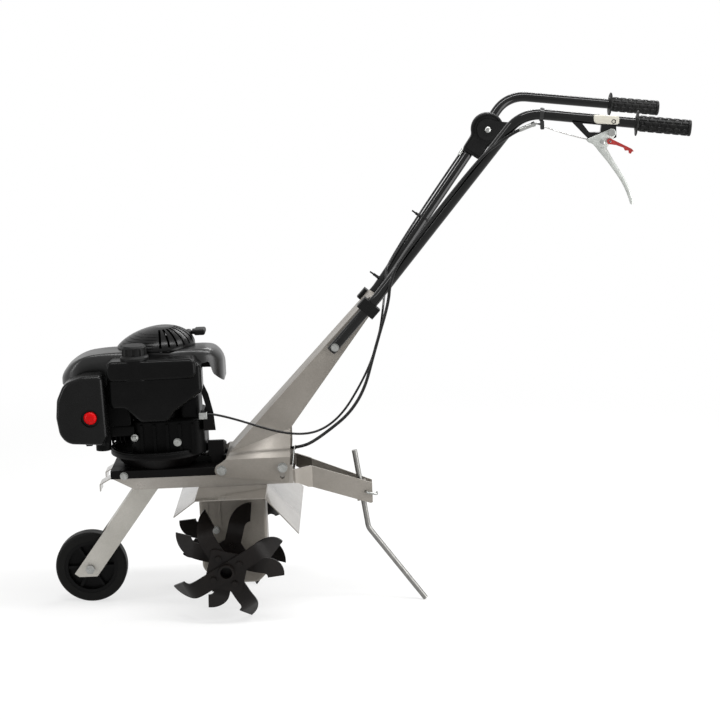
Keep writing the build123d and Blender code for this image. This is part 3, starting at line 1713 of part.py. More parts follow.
with BuildPart() as frame_fasteners:
    for side in (-1, 1):
        out = (0, side, 0)
        add(hex_bolt(deck_bolt[0], side * deck_half, deck_bolt[1], out, 8, 14))
        add(hex_bolt(hinge_x, side * foot_out, hinge_z, out, 10, 18))
        add(hex_bolt(rear_bolt_x, side * foot_out, rear_bolt_z, out, 10, 18))
        add(hex_bolt(case_side_bolt[0], side * case_half, case_side_bolt[1], out, 8, 10))
    add(post(fork_pivot_x, -fork_half - 10, fork_pivot_z, wheel_axle_radius, 2 * fork_half + 20, (0, 1, 0)))
    add(hex_bolt(engine_bolt[0], engine_bolt_y, engine_bolt[1], (0, -1, 0), 8, 14))
    for spot in case_bolts:
        add(hex_bolt(spot[0], spot[1], pan_bottom + sheet, (0, 0, 1), 8, 14))
keep(frame_fasteners, "frame_fasteners")

with BuildPart() as column_fasteners:
    for side in (-1, 1):
        head_y = side * (knee_y + tube_radius)
        add(hex_bolt(bar_bolt[0], head_y, bar_bolt[1], (0, side, 0), bar_bolt_size, 2 * tube_radius + 8))
    lever_pin = cheek_out + 1
    add(post(lever_x, lever_y - lever_pin, lever_z, lever_pin_radius, 2 * lever_pin, (0, 1, 0)))
    for side in (-1, 1):
        add(post(lever_x, lever_y + side * (cheek_out + run_gap), lever_z, 7, 3, (0, side, 0)))
keep(column_fasteners, "column_fasteners")

for label, part in pieces.items():
    placed = part.moved(stance)
    placed.label = label
    export_step(placed, f"parts/{label}.step")
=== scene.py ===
import json
import math

import bpy
import numpy as np
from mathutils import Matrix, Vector


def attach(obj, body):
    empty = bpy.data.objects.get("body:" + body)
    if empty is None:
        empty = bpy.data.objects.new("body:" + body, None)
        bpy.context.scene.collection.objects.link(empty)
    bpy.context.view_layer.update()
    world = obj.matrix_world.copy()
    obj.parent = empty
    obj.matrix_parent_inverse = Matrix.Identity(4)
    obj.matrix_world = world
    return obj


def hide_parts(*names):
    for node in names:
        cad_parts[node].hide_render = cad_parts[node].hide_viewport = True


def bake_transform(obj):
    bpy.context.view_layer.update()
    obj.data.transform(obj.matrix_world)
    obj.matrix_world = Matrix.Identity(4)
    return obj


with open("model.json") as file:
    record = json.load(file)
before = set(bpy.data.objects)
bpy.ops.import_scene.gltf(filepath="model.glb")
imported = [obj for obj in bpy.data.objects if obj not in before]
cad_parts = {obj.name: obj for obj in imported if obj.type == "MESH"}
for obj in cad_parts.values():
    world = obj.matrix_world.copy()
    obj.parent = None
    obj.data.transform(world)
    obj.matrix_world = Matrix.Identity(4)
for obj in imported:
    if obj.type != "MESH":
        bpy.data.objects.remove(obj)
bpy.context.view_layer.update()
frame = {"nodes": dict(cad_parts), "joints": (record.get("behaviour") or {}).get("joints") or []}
nodes = frame["nodes"]
joints = {joint["name"]: joint for joint in frame["joints"]}
print("frame loaded:", len(nodes), "nodes")

# The tiller stands nose down on its wheel and tines. These are its own level directions, so a piece
# can be written in level millimetres from the tine axle: x to the hand grips, y away from the camera, z up.
axle = np.array(joints["tine_spin"]["pos_m"])
upWay = np.array(joints["worm_spin"]["axis"])
rearWay = np.array([upWay[2], 0.0, -upWay[0]])
sideWay = np.array([0.0, 1.0, 0.0])


def place(points):
    # level mm to packed metres: axle + x along rearWay + y along sideWay + z along upWay
    points = np.asarray(points, float) / 1000
    return axle + points[..., 0:1] * rearWay + points[..., 1:2] * sideWay + points[..., 2:3] * upWay


def spot(x, y, z):
    return tuple(place([x, y, z]))


def pivot(joint):
    # a joint's place in level mm
    offset = (np.array(joints[joint]["pos_m"]) - axle) * 1000
    return np.array([offset @ rearWay, offset @ sideWay, offset @ upWay])


# camera, at the photograph's viewing angle
cameraLook = {"stand": (0.289, -4.7576, 1.372), "aim": (0.289, 0.0, 0.430), "lens": 109.7, "sensor": 36}

cameraData = bpy.data.cameras.new("viewCamera")
cameraData.lens = cameraLook["lens"]
cameraData.sensor_width = cameraLook["sensor"]
viewCamera = bpy.data.objects.new("viewCamera", cameraData)
bpy.context.scene.collection.objects.link(viewCamera)
viewCamera.location = Vector(axle) + Vector(cameraLook["stand"])
aimWay = Vector(axle) + Vector(cameraLook["aim"]) - viewCamera.location
viewCamera.rotation_euler = aimWay.to_track_quat("-Z", "Y").to_euler()
bpy.context.scene.camera = viewCamera
bpy.context.scene.view_settings.view_transform = "Standard"
print("camera placed")


def toLinear(hexColour):
    # sRGB hex to linear RGBA
    channels = np.array([int(hexColour[i:i + 2], 16) for i in (1, 3, 5)]) / 255
    linear = np.where(channels <= 0.04045, channels / 12.92, ((channels + 0.055) / 1.055) ** 2.4)
    return (*linear.tolist(), 1.0)


def addNode(tree, kind, settings=None, inputs=None):
    # one node with its settings; an input that is another node's output becomes a link
    node = tree.nodes.new(kind)
    for key, value in (settings or {}).items():
        setattr(node, key, value)
    for key, value in (inputs or {}).items():
        if isinstance(value, bpy.types.NodeSocket):
            tree.links.new(value, node.inputs[key])
        else:
            node.inputs[key].default_value = value
    return node


def groundFinish(name, look):
    # shared ground of the finishes: even values sit on the shader's own sockets, a slow cloud moves the
    # colour and gloss between two values, and a fine grain lifts the surface by a real height
    material = bpy.data.materials.new(name)
    material.use_nodes = True
    tree = material.node_tree
    tree.nodes.clear()
    shader = addNode(tree, "ShaderNodeBsdfPrincipled", None, look["even"])
    addNode(tree, "ShaderNodeOutputMaterial", None, {"Surface": shader.outputs["BSDF"]})
    coords = addNode(tree, "ShaderNodeTexCoord").outputs["Object"]
    cloud = addNode(tree, "ShaderNodeTexNoise", None,
                    {"Vector": coords, "Scale": 1000 / look["cloudMm"], "Detail": 4.0, "Roughness": 0.6})
    share = addNode(tree, "ShaderNodeMapRange", None,
                    {"Value": cloud.outputs["Fac"], "From Min": 0.35, "From Max": 0.65})
    colour = addNode(tree, "ShaderNodeMix", {"data_type": "RGBA"},
                     {"Factor": share.outputs["Result"], "A": toLinear(look["colour"]),
                      "B": toLinear(look["shade"])})
    gloss = addNode(tree, "ShaderNodeMapRange", None,
                    {"Value": cloud.outputs["Fac"], "From Min": 0.3, "From Max": 0.7,
                     "To Min": look["rough"][0], "To Max": look["rough"][1]})
    grain = addNode(tree, "ShaderNodeTexNoise", None,
                    {"Vector": coords, "Scale": 1000 / look["grainMm"], "Detail": 2.0})
    bump = addNode(tree, "ShaderNodeBump", None,
                   {"Height": grain.outputs["Fac"], "Strength": look["lift"],
                    "Distance": look["grainMm"] / 4000})
    tree.links.new(colour.outputs["Result"], shader.inputs["Base Color"])
    tree.links.new(gloss.outputs["Result"], shader.inputs["Roughness"])
    tree.links.new(bump.outputs["Normal"], shader.inputs["Normal"])
    return {"material": material, "tree": tree, "shader": shader, "coords": coords,
            "colour": colour.outputs["Result"], "normal": bump.outputs["Normal"]}


def relink(ground, socket, output):
    # swap what feeds one of the shader's sockets
    for link in list(ground["shader"].inputs[socket].links):
        ground["tree"].links.remove(link)
    ground["tree"].links.new(output, ground["shader"].inputs[socket])


# silver stoving enamel on folded sheet: aluminium flake in a satin film, so it is a warm grey with a soft
# sheen and a faint flake sparkle (flake is 0.05 mm, drawn at 1.6 mm to show)
silverLook = {"even": {"Metallic": 0.35, "IOR": 1.5}, "colour": "#8a857e", "shade": "#7f7a73", "cloudMm": 90,
              "rough": (0.38, 0.5), "grainMm": 3.0, "lift": 0.08, "flakeMm": 1.6, "flake": 0.05}
# the gear case and guard take a darker copy of the silver enamel as painted shade, and the pan and wheel fork a
# paler copy as painted light
shadedCaseLook = {**silverLook, "colour": "#7d7870", "shade": "#716c65"}
shadedGuardLook = {**shadedCaseLook, "even": {"Metallic": 0.45, "IOR": 1.5, "Coat Weight": 0.7, "Coat Roughness": 0.06},
             "rough": (0.2, 0.28)}
litForkLook = {**silverLook, "colour": "#bab7b0", "shade": "#afaca5"}
litPanLook = {**silverLook, "even": {"Metallic": 0.4, "IOR": 1.5, "Coat Weight": 0.7, "Coat Roughness": 0.06},
           "colour": "#9b968f", "shade": "#8f8a83", "rough": (0.26, 0.34)}


def silverEnamel(name, look):
    # each flake cell lifts or lowers the ground colour by a small share
    ground = groundFinish(name, look)
    tree = ground["tree"]
    flake = addNode(tree, "ShaderNodeTexVoronoi", None,
                    {"Vector": ground["coords"], "Scale": 1000 / look["flakeMm"]})
    brightness = addNode(tree, "ShaderNodeSeparateColor", None, {"Color": flake.outputs["Color"]})
    value = addNode(tree, "ShaderNodeMapRange", None,
                    {"Value": brightness.outputs["Red"], "To Min": 1 - look["flake"],
                     "To Max": 1 + look["flake"]})
    lit = addNode(tree, "ShaderNodeVectorMath", {"operation": "SCALE"},
                  {"Vector": ground["colour"], "Scale": value.outputs["Result"]})
    relink(ground, "Base Color", lit.outputs["Vector"])
    return ground["material"]


# black powder coat, gloss: a thick smooth film with a slow orange peel of about 4 mm
tubeLook = {"even": {"IOR": 1.5, "Specular IOR Level": 0.24}, "colour": "#060606", "shade": "#0a0a0a",
            "cloudMm": 60, "rough": (0.1, 0.15), "grainMm": 4.0, "lift": 0.03}
# black satin paint on the pressed deck and belt cone, with a little dust in its slow cloud
deckLook = {"even": {"IOR": 1.5, "Specular IOR Level": 0.08}, "colour": "#060505", "shade": "#0b0a0a",
            "cloudMm": 45, "rough": (0.34, 0.5), "grainMm": 3.0, "lift": 0.12}
# die-cast aluminium crankcase under black paint: a pebbly casting skin (grain 2.5 mm) shows through
castLook = {"even": {"IOR": 1.5, "Specular IOR Level": 0.05}, "colour": "#060606", "shade": "#0a0a0a",
            "cloudMm": 30, "rough": (0.34, 0.48), "grainMm": 2.5, "lift": 0.3}
# moulded polypropylene shroud: polished mould, so a clean gloss with a faint slow flow
shroudLook = {"even": {"IOR": 1.49, "Specular IOR Level": 0.4}, "colour": "#080808", "shade": "#0c0c0c",
              "cloudMm": 120, "rough": (0.28, 0.38), "grainMm": 5.0, "lift": 0.02}
# the louvred dome is the same plastic from a duller mould
domeLook = {**shroudLook, "even": {"IOR": 1.49, "Specular IOR Level": 0.14}, "rough": (0.24, 0.34)}
# blow-moulded polyethylene tank: waxy half gloss and a soft uneven skin
tankLook = {"even": {"IOR": 1.51, "Specular IOR Level": 0.07}, "colour": "#080808", "shade": "#0c0c0c",
            "cloudMm": 55, "rough": (0.2, 0.3), "grainMm": 7.0, "lift": 0.04}
# glass-filled nylon with a spark-eroded mould texture (0.3 mm grit, drawn at 1.8 mm to show): matte black
matteLook = {"even": {"IOR": 1.53, "Specular IOR Level": 0.12}, "colour": "#0a0a0a", "shade": "#0f0f0f",
             "cloudMm": 50, "rough": (0.42, 0.56), "grainMm": 1.8, "lift": 0.25}
# the air cleaner's lid comes from a smoother mould, so its edges catch a thin light
lidLook = {**matteLook, "rough": (0.22, 0.32), "lift": 0.06}
# moulded silicone bulb: bright red, soft satin, a trace of bloom
bulbLook = {"even": {"IOR": 1.43, "Specular IOR Level": 0.12}, "colour": "#c40b0e", "shade": "#b4090c",
            "cloudMm": 9, "rough": (0.28, 0.4), "grainMm": 1.6, "lift": 0.06}
# moulded red nylon of the lever catch: duller and a little scuffed
catchLook = {"even": {"IOR": 1.53, "Specular IOR Level": 0.2}, "colour": "#a03431", "shade": "#8a2a28",
             "cloudMm": 10, "rough": (0.42, 0.58), "grainMm": 1.6, "lift": 0.2}
# tumbled zinc-aluminium die casting: pale metal with a mottled satin skin
leverLook = {"even": {"Metallic": 0.5}, "colour": "#bcbfbb", "shade": "#a9aca8", "cloudMm": 12,
             "rough": (0.34, 0.48), "grainMm": 2.0, "lift": 0.15}
# bright zinc plate on bolts and pins: pale blue-grey metal with cloudy crystals (6 mm)
zincLook = {"even": {"Metallic": 1.0}, "colour": "#a2a3a1", "shade": "#8c8d8a", "cloudMm": 6,
            "rough": (0.22, 0.4), "grainMm": 2.0, "lift": 0.1}
# drawn bar of the skid: grey scale left from the drawing, darker than the plated parts
drawnLook = {"even": {"Metallic": 0.9}, "colour": "#7e7d7a", "shade": "#737270", "cloudMm": 14,
             "rough": (0.3, 0.44), "grainMm": 2.0, "lift": 0.1}
# turned and ground shaft steel
shaftLook = {"even": {"Metallic": 1.0}, "colour": "#c6c5c2", "shade": "#b0afac", "cloudMm": 20,
             "rough": (0.18, 0.3), "grainMm": 1.5, "lift": 0.1}
# heat paint on the muffler: dead matte black, speckled where it has baked
exhaustLook = {"even": {"IOR": 1.5, "Specular IOR Level": 0.1}, "colour": "#0e0d0d", "shade": "#191715",
               "cloudMm": 8, "rough": (0.7, 0.85), "grainMm": 2.0, "lift": 0.3}
# moulded PVC hand grip: soft matte black, greyed by handling
gripLook = {"even": {"IOR": 1.52, "Specular IOR Level": 0.14}, "colour": "#0b0b0b", "shade": "#111110",
            "cloudMm": 25, "rough": (0.4, 0.56), "grainMm": 1.6, "lift": 0.2}
# solid rubber tyre: dull charcoal with a dusty bloom
tyreLook = {"even": {"IOR": 1.52, "Specular IOR Level": 0.1}, "colour": "#0b0b0a", "shade": "#10100f",
            "cloudMm": 22, "rough": (0.46, 0.6), "grainMm": 1.8, "lift": 0.2}
# injection-moulded wheel disc
rimLook = {"even": {"IOR": 1.53, "Specular IOR Level": 0.08}, "colour": "#070707", "shade": "#0b0b0b",
           "cloudMm": 30, "rough": (0.36, 0.5), "grainMm": 2.2, "lift": 0.15}
# extruded PVC sheath of the control cables
sheathLook = {"even": {"IOR": 1.52, "Specular IOR Level": 0.25}, "colour": "#060606", "shade": "#0a0a0a",
              "cloudMm": 15, "rough": (0.2, 0.3), "grainMm": 1.5, "lift": 0.06}
# pale moulded plate above the lever
plateLook = {"even": {"IOR": 1.48, "Specular IOR Level": 0.3}, "colour": "#cfccc1", "shade": "#c2beb1",
             "cloudMm": 14, "rough": (0.4, 0.52), "grainMm": 1.6, "lift": 0.12}
# gear bronze and grey iron of the drive inside
bronzeLook = {"even": {"Metallic": 1.0}, "colour": "#b0874c", "shade": "#96703a", "cloudMm": 12,
              "rough": (0.3, 0.45), "grainMm": 1.5, "lift": 0.2}
ironLook = {"even": {"Metallic": 0.85}, "colour": "#5d5b58", "shade": "#4a4846", "cloudMm": 14,
            "rough": (0.45, 0.62), "grainMm": 1.8, "lift": 0.4}

# dip paint on spring-steel tines: near-black brown satin, rubbed through to steel in small spots at the tips
tineLook = {"even": {"IOR": 1.5, "Specular IOR Level": 0.14}, "colour": "#0d0a09", "shade": "#14100e",
            "cloudMm": 40, "rough": (0.34, 0.5), "grainMm": 4.0, "lift": 0.15, "steel": "#5d5853",
            "wearFrom": 0.112, "wearTo": 0.136, "wear": 0.42, "chipMm": 7.0, "bareFrom": 0.9}


def tineEnamel():
    ground = groundFinish("tineDipPaint", tineLook)
    tree = ground["tree"]
    # distance from the axle line, with y left out
    fromAxle = addNode(tree, "ShaderNodeVectorMath", {"operation": "SUBTRACT"},
                       {0: ground["coords"], 1: (axle[0], 0, axle[2])})
    flat = addNode(tree, "ShaderNodeVectorMath", {"operation": "MULTIPLY"},
                   {0: fromAxle.outputs["Vector"], 1: (1, 0, 1)})
    reach = addNode(tree, "ShaderNodeVectorMath", {"operation": "LENGTH"}, {0: flat.outputs["Vector"]})
    tip = addNode(tree, "ShaderNodeMapRange", None,
                  {"Value": reach.outputs["Value"], "From Min": tineLook["wearFrom"],
                   "From Max": tineLook["wearTo"], "To Max": tineLook["wear"]})
    chips = addNode(tree, "ShaderNodeTexNoise", None,
                    {"Vector": ground["coords"], "Scale": 1000 / tineLook["chipMm"], "Detail": 5.0,
                     "Roughness": 0.7})
    over = addNode(tree, "ShaderNodeMath", {"operation": "ADD"},
                   {0: chips.outputs["Fac"], 1: tip.outputs["Result"]})
    bare = addNode(tree, "ShaderNodeMapRange", None,
                   {"Value": over.outputs["Value"], "From Min": tineLook["bareFrom"], "From Max": 1.0})
    worn = addNode(tree, "ShaderNodeMix", {"data_type": "RGBA"},
                   {"Factor": bare.outputs["Result"], "A": ground["colour"],
                    "B": toLinear(tineLook["steel"])})
    relink(ground, "Base Color", worn.outputs["Result"])
    return ground["material"]


# pleated filter felt: cream paper fibre folded every 6 mm
feltLook = {"even": {"IOR": 1.5, "Specular IOR Level": 0.1}, "colour": "#cdbf9a", "shade": "#b9a984",
            "cloudMm": 10, "rough": (0.85, 0.95), "grainMm": 1.5, "lift": 0.5, "pleatMm": 6.0,
            "foldLift": 0.8, "foldMm": 2.0}


def pleatedFelt():
    ground = groundFinish("pleatedFilterFelt", feltLook)
    tree = ground["tree"]
    # a sine wave along x, one turn per pleat (the wave node turns once every 2 pi / 20 units)
    pleats = addNode(tree, "ShaderNodeTexWave", {"bands_direction": "X"},
                     {"Vector": ground["coords"], "Scale": 2 * math.pi / 20 * 1000 / feltLook["pleatMm"]})
    fold = addNode(tree, "ShaderNodeBump", None,
                   {"Height": pleats.outputs["Fac"], "Strength": feltLook["foldLift"],
                    "Distance": feltLook["foldMm"] / 1000, "Normal": ground["normal"]})
    relink(ground, "Normal", fold.outputs["Normal"])
    return ground["material"]


# cable adjuster: zinc-plated barrel, and beyond its stem a black nylon clip round the bar
adjusterLook = {**zincLook, "clip": "#0b0b0b", "clipFrom": spot(697, -243, 940)[0]}


def platedAdjuster():
    ground = groundFinish("zincBarrelNylonClip", adjusterLook)
    tree = ground["tree"]
    along = addNode(tree, "ShaderNodeSeparateXYZ", None, {"Vector": ground["coords"]})
    isClip = addNode(tree, "ShaderNodeMath", {"operation": "GREATER_THAN"},
                     {0: along.outputs["X"], 1: adjusterLook["clipFrom"]})
    colour = addNode(tree, "ShaderNodeMix", {"data_type": "RGBA"},
                     {"Factor": isClip.outputs["Value"], "A": ground["colour"],
                      "B": toLinear(adjusterLook["clip"])})
    metal = addNode(tree, "ShaderNodeMath", {"operation": "SUBTRACT"}, {0: 1.0, 1: isClip.outputs["Value"]})
    relink(ground, "Base Color", colour.outputs["Result"])
    relink(ground, "Metallic", metal.outputs["Value"])
    return ground["material"]


def plainFinish(name, look):
    return groundFinish(name, look)["material"]


tubeBlack = plainFinish("blackPowderCoat", tubeLook)
caseBlack = plainFinish("blackPaintedCasting", castLook)
shroudBlack = plainFinish("blackGlossPolypropylene", shroudLook)
matteBlack = plainFinish("blackTexturedNylon", matteLook)
leverCast = plainFinish("tumbledDieCast", leverLook)
zinc = plainFinish("brightZincPlate", zincLook)
steel = plainFinish("groundShaftSteel", shaftLook)
gripBlack = plainFinish("blackGripPvc", gripLook)
sheathBlack = plainFinish("blackCablePvc", sheathLook)
plateCream = plainFinish("paleAcetal", plateLook)

# each finish with its nodes
nodeFinish = [
    # the pan, fork, gear case and guard enamels are lit and shaded copies of one silver: painted light on the pan
    # and fork, painted shade on the case and guard
    (silverEnamel("silverPanEnamelPaintedLight", litPanLook), "chassis_pan"),
    (silverEnamel("silverStovingEnamel", silverLook), "column hitch_bracket"),
    (silverEnamel("silverForkEnamelPaintedLight", litForkLook), "wheel_fork"),
    (silverEnamel("silverCaseEnamelPaintedShade", shadedCaseLook), "gearcase_left gearcase_right"),
    (silverEnamel("silverGuardEnamelPaintedShade", shadedGuardLook), "tine_guard"),
    (plainFinish("blackDeckPaint", deckLook), "engine_deck pulley_housing control_bracket"),
    (tubeBlack, "lever_bracket handlebar_left handlebar_right"),
    (matteBlack, "handlebar_clamps fuel_cap air_filter_base throttle_housing throttle_lever starter_grip "
                 "spark_plug"),
    (caseBlack, "crankcase cylinder carburettor"),
    (leverCast, "clutch_lever"),
    (plainFinish("blackHeatPaint", exhaustLook), "muffler"),
    (shroudBlack, "blower_housing"),
    (plainFinish("blackSatinPolypropylene", domeLook), "recoil_cover"),
    (plainFinish("blackTankPolyethylene", tankLook), "fuel_tank"),
    (plainFinish("blackSmoothNylon", lidLook), "air_filter_cover"),
    (pleatedFelt(), "air_filter_element"),
    (plainFinish("redSilicone", bulbLook), "primer_bulb"),
    (plainFinish("redNylon", catchLook), "safety_catch"),
    (zinc, "frame_fasteners column_fasteners skid_pin wheel_axle tine_pins idler_arm"),
    (plainFinish("drawnBarSteel", drawnLook), "skid_bar"),
    (platedAdjuster(), "cable_adjuster"),
    (tineEnamel(), "tine_shaft tine_hubs tine_blades_left tine_blades_right tine_bolts"),
    (steel, "worm_shaft crankshaft shaft_bearings"),
    (plainFinish("greyCastIron", ironLook), "drive_pulley driven_pulley flywheel idler_pulley"),
    (plainFinish("gearBronze", bronzeLook), "worm_wheel"),
    (gripBlack, "handle_grips"),
    (plainFinish("charcoalTyreRubber", tyreLook), "drive_belt wheel_tyre"),
    (sheathBlack, "clutch_cable throttle_cable"),
    (plainFinish("blackWheelNylon", rimLook), "wheel_rim"),
    (plateCream, "lever_plate"),
]
finished = set()
for material, names in nodeFinish:
    for name in names.split():
        slots = nodes[name].data.materials
        slots.clear()
        slots.append(material)
        finished.add(name)
print("finishes set:", len(finished), "nodes, without one:", sorted(set(nodes) - finished))


def gridFaces(rows, columns, closedRows=False, closedColumns=True):
    # four-sided faces between neighbours of a rows x columns grid, carried round where it is closed
    row = np.arange(rows if closedRows else rows - 1)[:, None]
    column = np.arange(columns if closedColumns else columns - 1)[None, :]
    nextRow, nextColumn = (row + 1) % rows, (column + 1) % columns
    corners = [row * columns + column, row * columns + nextColumn,
               nextRow * columns + nextColumn, nextRow * columns + column]
    return np.stack(np.broadcast_arrays(*corners), -1).reshape(-1, 4)


def capped(rings):
    # a run of rings with its first and last ring closed by a face
    rows, sides = rings.shape[:2]
    faces = gridFaces(rows, sides).tolist()
    faces += [list(range(sides))[::-1], list(range((rows - 1) * sides, rows * sides))]
    return rings.reshape(-1, 3), faces


def looped(rings):
    # a run of rings that comes back to its first ring
    return rings.reshape(-1, 3), gridFaces(*rings.shape[:2], closedRows=True).tolist()


def joined(shapes):
    # several closed surfaces as one list of points and faces
    points, faces, start = [], [], 0
    for shapePoints, shapeFaces in shapes:
        points.append(shapePoints)
        faces += [[corner + start for corner in face] for face in shapeFaces]
        start += len(shapePoints)
    return np.concatenate(points), faces


def addPiece(name, shape, material, body=None, flatAngle=40):
    # a mesh at the origin with its place in its points, outward faces, smooth up to the flat angle
    mesh = bpy.data.meshes.new(name)
    mesh.from_pydata(shape[0].tolist(), [], shape[1])
    mesh.materials.append(material)
    mesh.update()
    mesh.shade_smooth()
    mesh.set_sharp_from_angle(angle=math.radians(flatAngle))
    piece = bpy.data.objects.new(name, mesh)
    bpy.context.scene.collection.objects.link(piece)
    if body:
        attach(piece, body)
    return piece


def ringsAlong(path, radii, sides, across):
    # rings set square to a path: centre + radius (cos a * first + sin a * second), first = tangent x across
    tangent = np.gradient(path, axis=0)
    tangent /= np.linalg.norm(tangent, axis=1, keepdims=True)
    first = np.cross(tangent, across)
    first /= np.linalg.norm(first, axis=1, keepdims=True)
    second = np.cross(tangent, first)
    turn = np.linspace(0, 2 * np.pi, sides, endpoint=False)
    ring = np.cos(turn)[None, :, None] * first[:, None] + np.sin(turn)[None, :, None] * second[:, None]
    return path[:, None] + np.broadcast_to(radii, len(path))[:, None, None] * ring


def ringsRound(base, way, along, radius, sides):
    # rings round a straight level axis: base + along * way + radius (cos a * first + sin a * second)
    way = np.asarray(way, float) / np.linalg.norm(way)
    first = np.cross(way, (0.31, 0.9, 0.3))
    first /= np.linalg.norm(first)
    second = np.cross(way, first)
    turn = np.linspace(0, 2 * np.pi, sides, endpoint=False)
    ring = np.cos(turn)[:, None] * first + np.sin(turn)[:, None] * second
    along = np.asarray(along, float)
    radius = np.asarray(radius, float).reshape(len(along), -1, 1)
    return place(np.asarray(base, float) + along[:, None, None] * way + radius * ring)


def turned(shape):
    # a turned piece: its radius at each place along a straight axis, closed at both ends
    return capped(ringsRound(shape["base"], shape["way"], shape["along"], shape["radius"], shape["sides"]))


def squaredTurn(sides, power):
    # cos and sin of one full turn, each to a power under one, so that a circle squares up to a rounded oblong
    turn = np.linspace(0, 2 * np.pi, sides, endpoint=False)
    return [np.sign(wave) * np.abs(wave) ** power for wave in (np.cos(turn), np.sin(turn))]


def hullPlate(circles, steps):
    # a plate that lies across y: the outline round some circles (at each angle the circle that reaches farthest
    # carries the point), set at each step's y and drawn in by that step's inset
    circles, steps = np.array(circles, float), np.array(steps, float)
    turn = np.linspace(0, 2 * np.pi, 96, endpoint=False)
    way = np.stack([np.cos(turn), np.sin(turn)], -1)
    farthest = circles[(circles[:, :2] @ way.T + circles[:, 2:]).argmax(0)]
    flat = farthest[:, :2] + (farthest[:, 2:] - steps[:, 1, None, None]) * way
    deep = np.broadcast_to(steps[:, :1], flat.shape[:2])
    return capped(place(np.stack([flat[..., 0], deep, flat[..., 1]], -1)))


def routeLine(points, perSpan):
    # smooth line with the route's level points as its control points, read back from a NURBS spline
    curve = bpy.data.curves.new("routeLine", "CURVE")
    curve.dimensions = "3D"
    curve.resolution_u = perSpan
    spline = curve.splines.new("NURBS")
    spline.points.add(len(points) - 1)
    spline.points.foreach_set("co", np.column_stack([place(points), np.ones(len(points))]).ravel())
    spline.order_u = 3
    spline.use_endpoint_u = True
    holder = bpy.data.objects.new("routeLine", curve)
    mesh = bpy.data.meshes.new_from_object(holder)
    line = np.empty(len(mesh.vertices) * 3)
    mesh.vertices.foreach_get("co", line)
    bpy.data.objects.remove(holder)
    bpy.data.curves.remove(curve)
    bpy.data.meshes.remove(mesh)
    return line.reshape(-1, 3)


# control cables: held along the bars, then a loose loop down to the machine
clutchRoute = {"points": [(659.4, -233, 931.4), (650.2, -230.6, 927.8), (620.6, -229.9, 910.2),
                          (574.0, -201.2, 872.5), (401.9, -105.6, 652.0), (379.9, -94.7, 601.8),
                          (375, -84, 555), (346, -86, 470), (305, -88, 335), (205, -82, 258), (165, -50, 236),
                          (129, -50, 236)],
               "radius": 0.0035, "frameUntil": (140, -50, 236), "handleFrom": (330, -86, 440)}
throttleRoute = {"points": [(574.2, 190.7, 873.4), (376.2, 82.1, 624.6), (372, 20, 590), (362, -40, 530),
                            (352, -60, 480), (322, -74, 400), (250, -74, 290), (160, -86, 266),
                            (-6, -85, 328.5), (-31.7, -85, 328.5)],
                 "radius": 0.0025, "frameUntil": (10, -85, 322), "handleFrom": (322, -74, 420)}


def controlCable(name, node, route):
    # a round sheath along the route, baked in place; the part's own cable is hidden
    line = routeLine(route["points"], 14)
    piece = addPiece(name, capped(ringsAlong(line, route["radius"], 16, (0.7, 0.5, -0.5))), sheathBlack)
    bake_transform(piece)
    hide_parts(node)


controlCable("clutchSheath", "clutch_cable", clutchRoute)
controlCable("throttleSheath", "throttle_cable", throttleRoute)
print("control cables laid")

# hand grips: a rubber sleeve turned round the bar end; its radius is the sleeve's, raised where a block
# stands, and the blocks lie in rows along the bar with every other row moved on by half a pitch
gripShape = {"end": (1004, 252, 922), "back": (-0.990, 0.0497, 0.131), "sleeve": 14.7, "block": 1.9,
             "halfLong": 6.4, "halfWide": 2.5, "pitch": 17.0, "rows": 12, "edge": 1.2, "columns": 144,
             "knurl": (3.0, 102.1, 0.9), "blockRadius": 16,
             "rim": [(-5, 0.3), (-5, 13.4), (-4.6, 15.4), (-3.4, 16.5), (-1.6, 16.9), (0.2, 16.9), (1.4, 16.2),
                     (2.2, 14.8)],
             "stop": [(102.5, 14.8), (104, 15.6), (104.6, 24.4), (105.2, 25.8), (106.4, 26.4), (107.6, 25.8),
                      (108.2, 24.4), (108.8, 16), (110, 15), (110, 11.2), (0.3, 11.2), (0.3, 0.3)]}


def handGrip(side):
    shape = gripShape
    body = np.arange(*shape["knurl"])
    row = np.arange(shape["columns"]) / shape["columns"] * shape["rows"]
    nearest = np.round(row)
    acrossGap = np.abs(row - nearest) * 2 * np.pi * shape["blockRadius"] / shape["rows"]
    step = body[:, None] / shape["pitch"] + 0.5 * (nearest % 2)[None]
    alongGap = np.abs(step - np.round(step)) * shape["pitch"]
    rise = (np.clip((shape["halfWide"] - acrossGap) / shape["edge"] + 0.5, 0, 1)[None]
            * np.clip((shape["halfLong"] - alongGap) / shape["edge"] + 0.5, 0, 1))
    knurl = shape["sleeve"] + shape["block"] * rise * rise * (3 - 2 * rise)
    rim, stop = np.array(shape["rim"]), np.array(shape["stop"])
    plain = np.ones(shape["columns"])
    along = np.concatenate([rim[:, 0], body, stop[:, 0]])
    radius = np.concatenate([rim[:, 1:] * plain, knurl, stop[:, 1:] * plain])
    base = np.array(shape["end"]) * (1, side, 1)
    way = np.array(shape["back"]) * (1, -side, 1)
    return capped(ringsRound(base, way, along, radius, shape["columns"]))


handGrips = addPiece("handGrips", joined([handGrip(-1), handGrip(1)]), gripBlack, "handle")
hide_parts("handle_grips")
print("hand grips made")

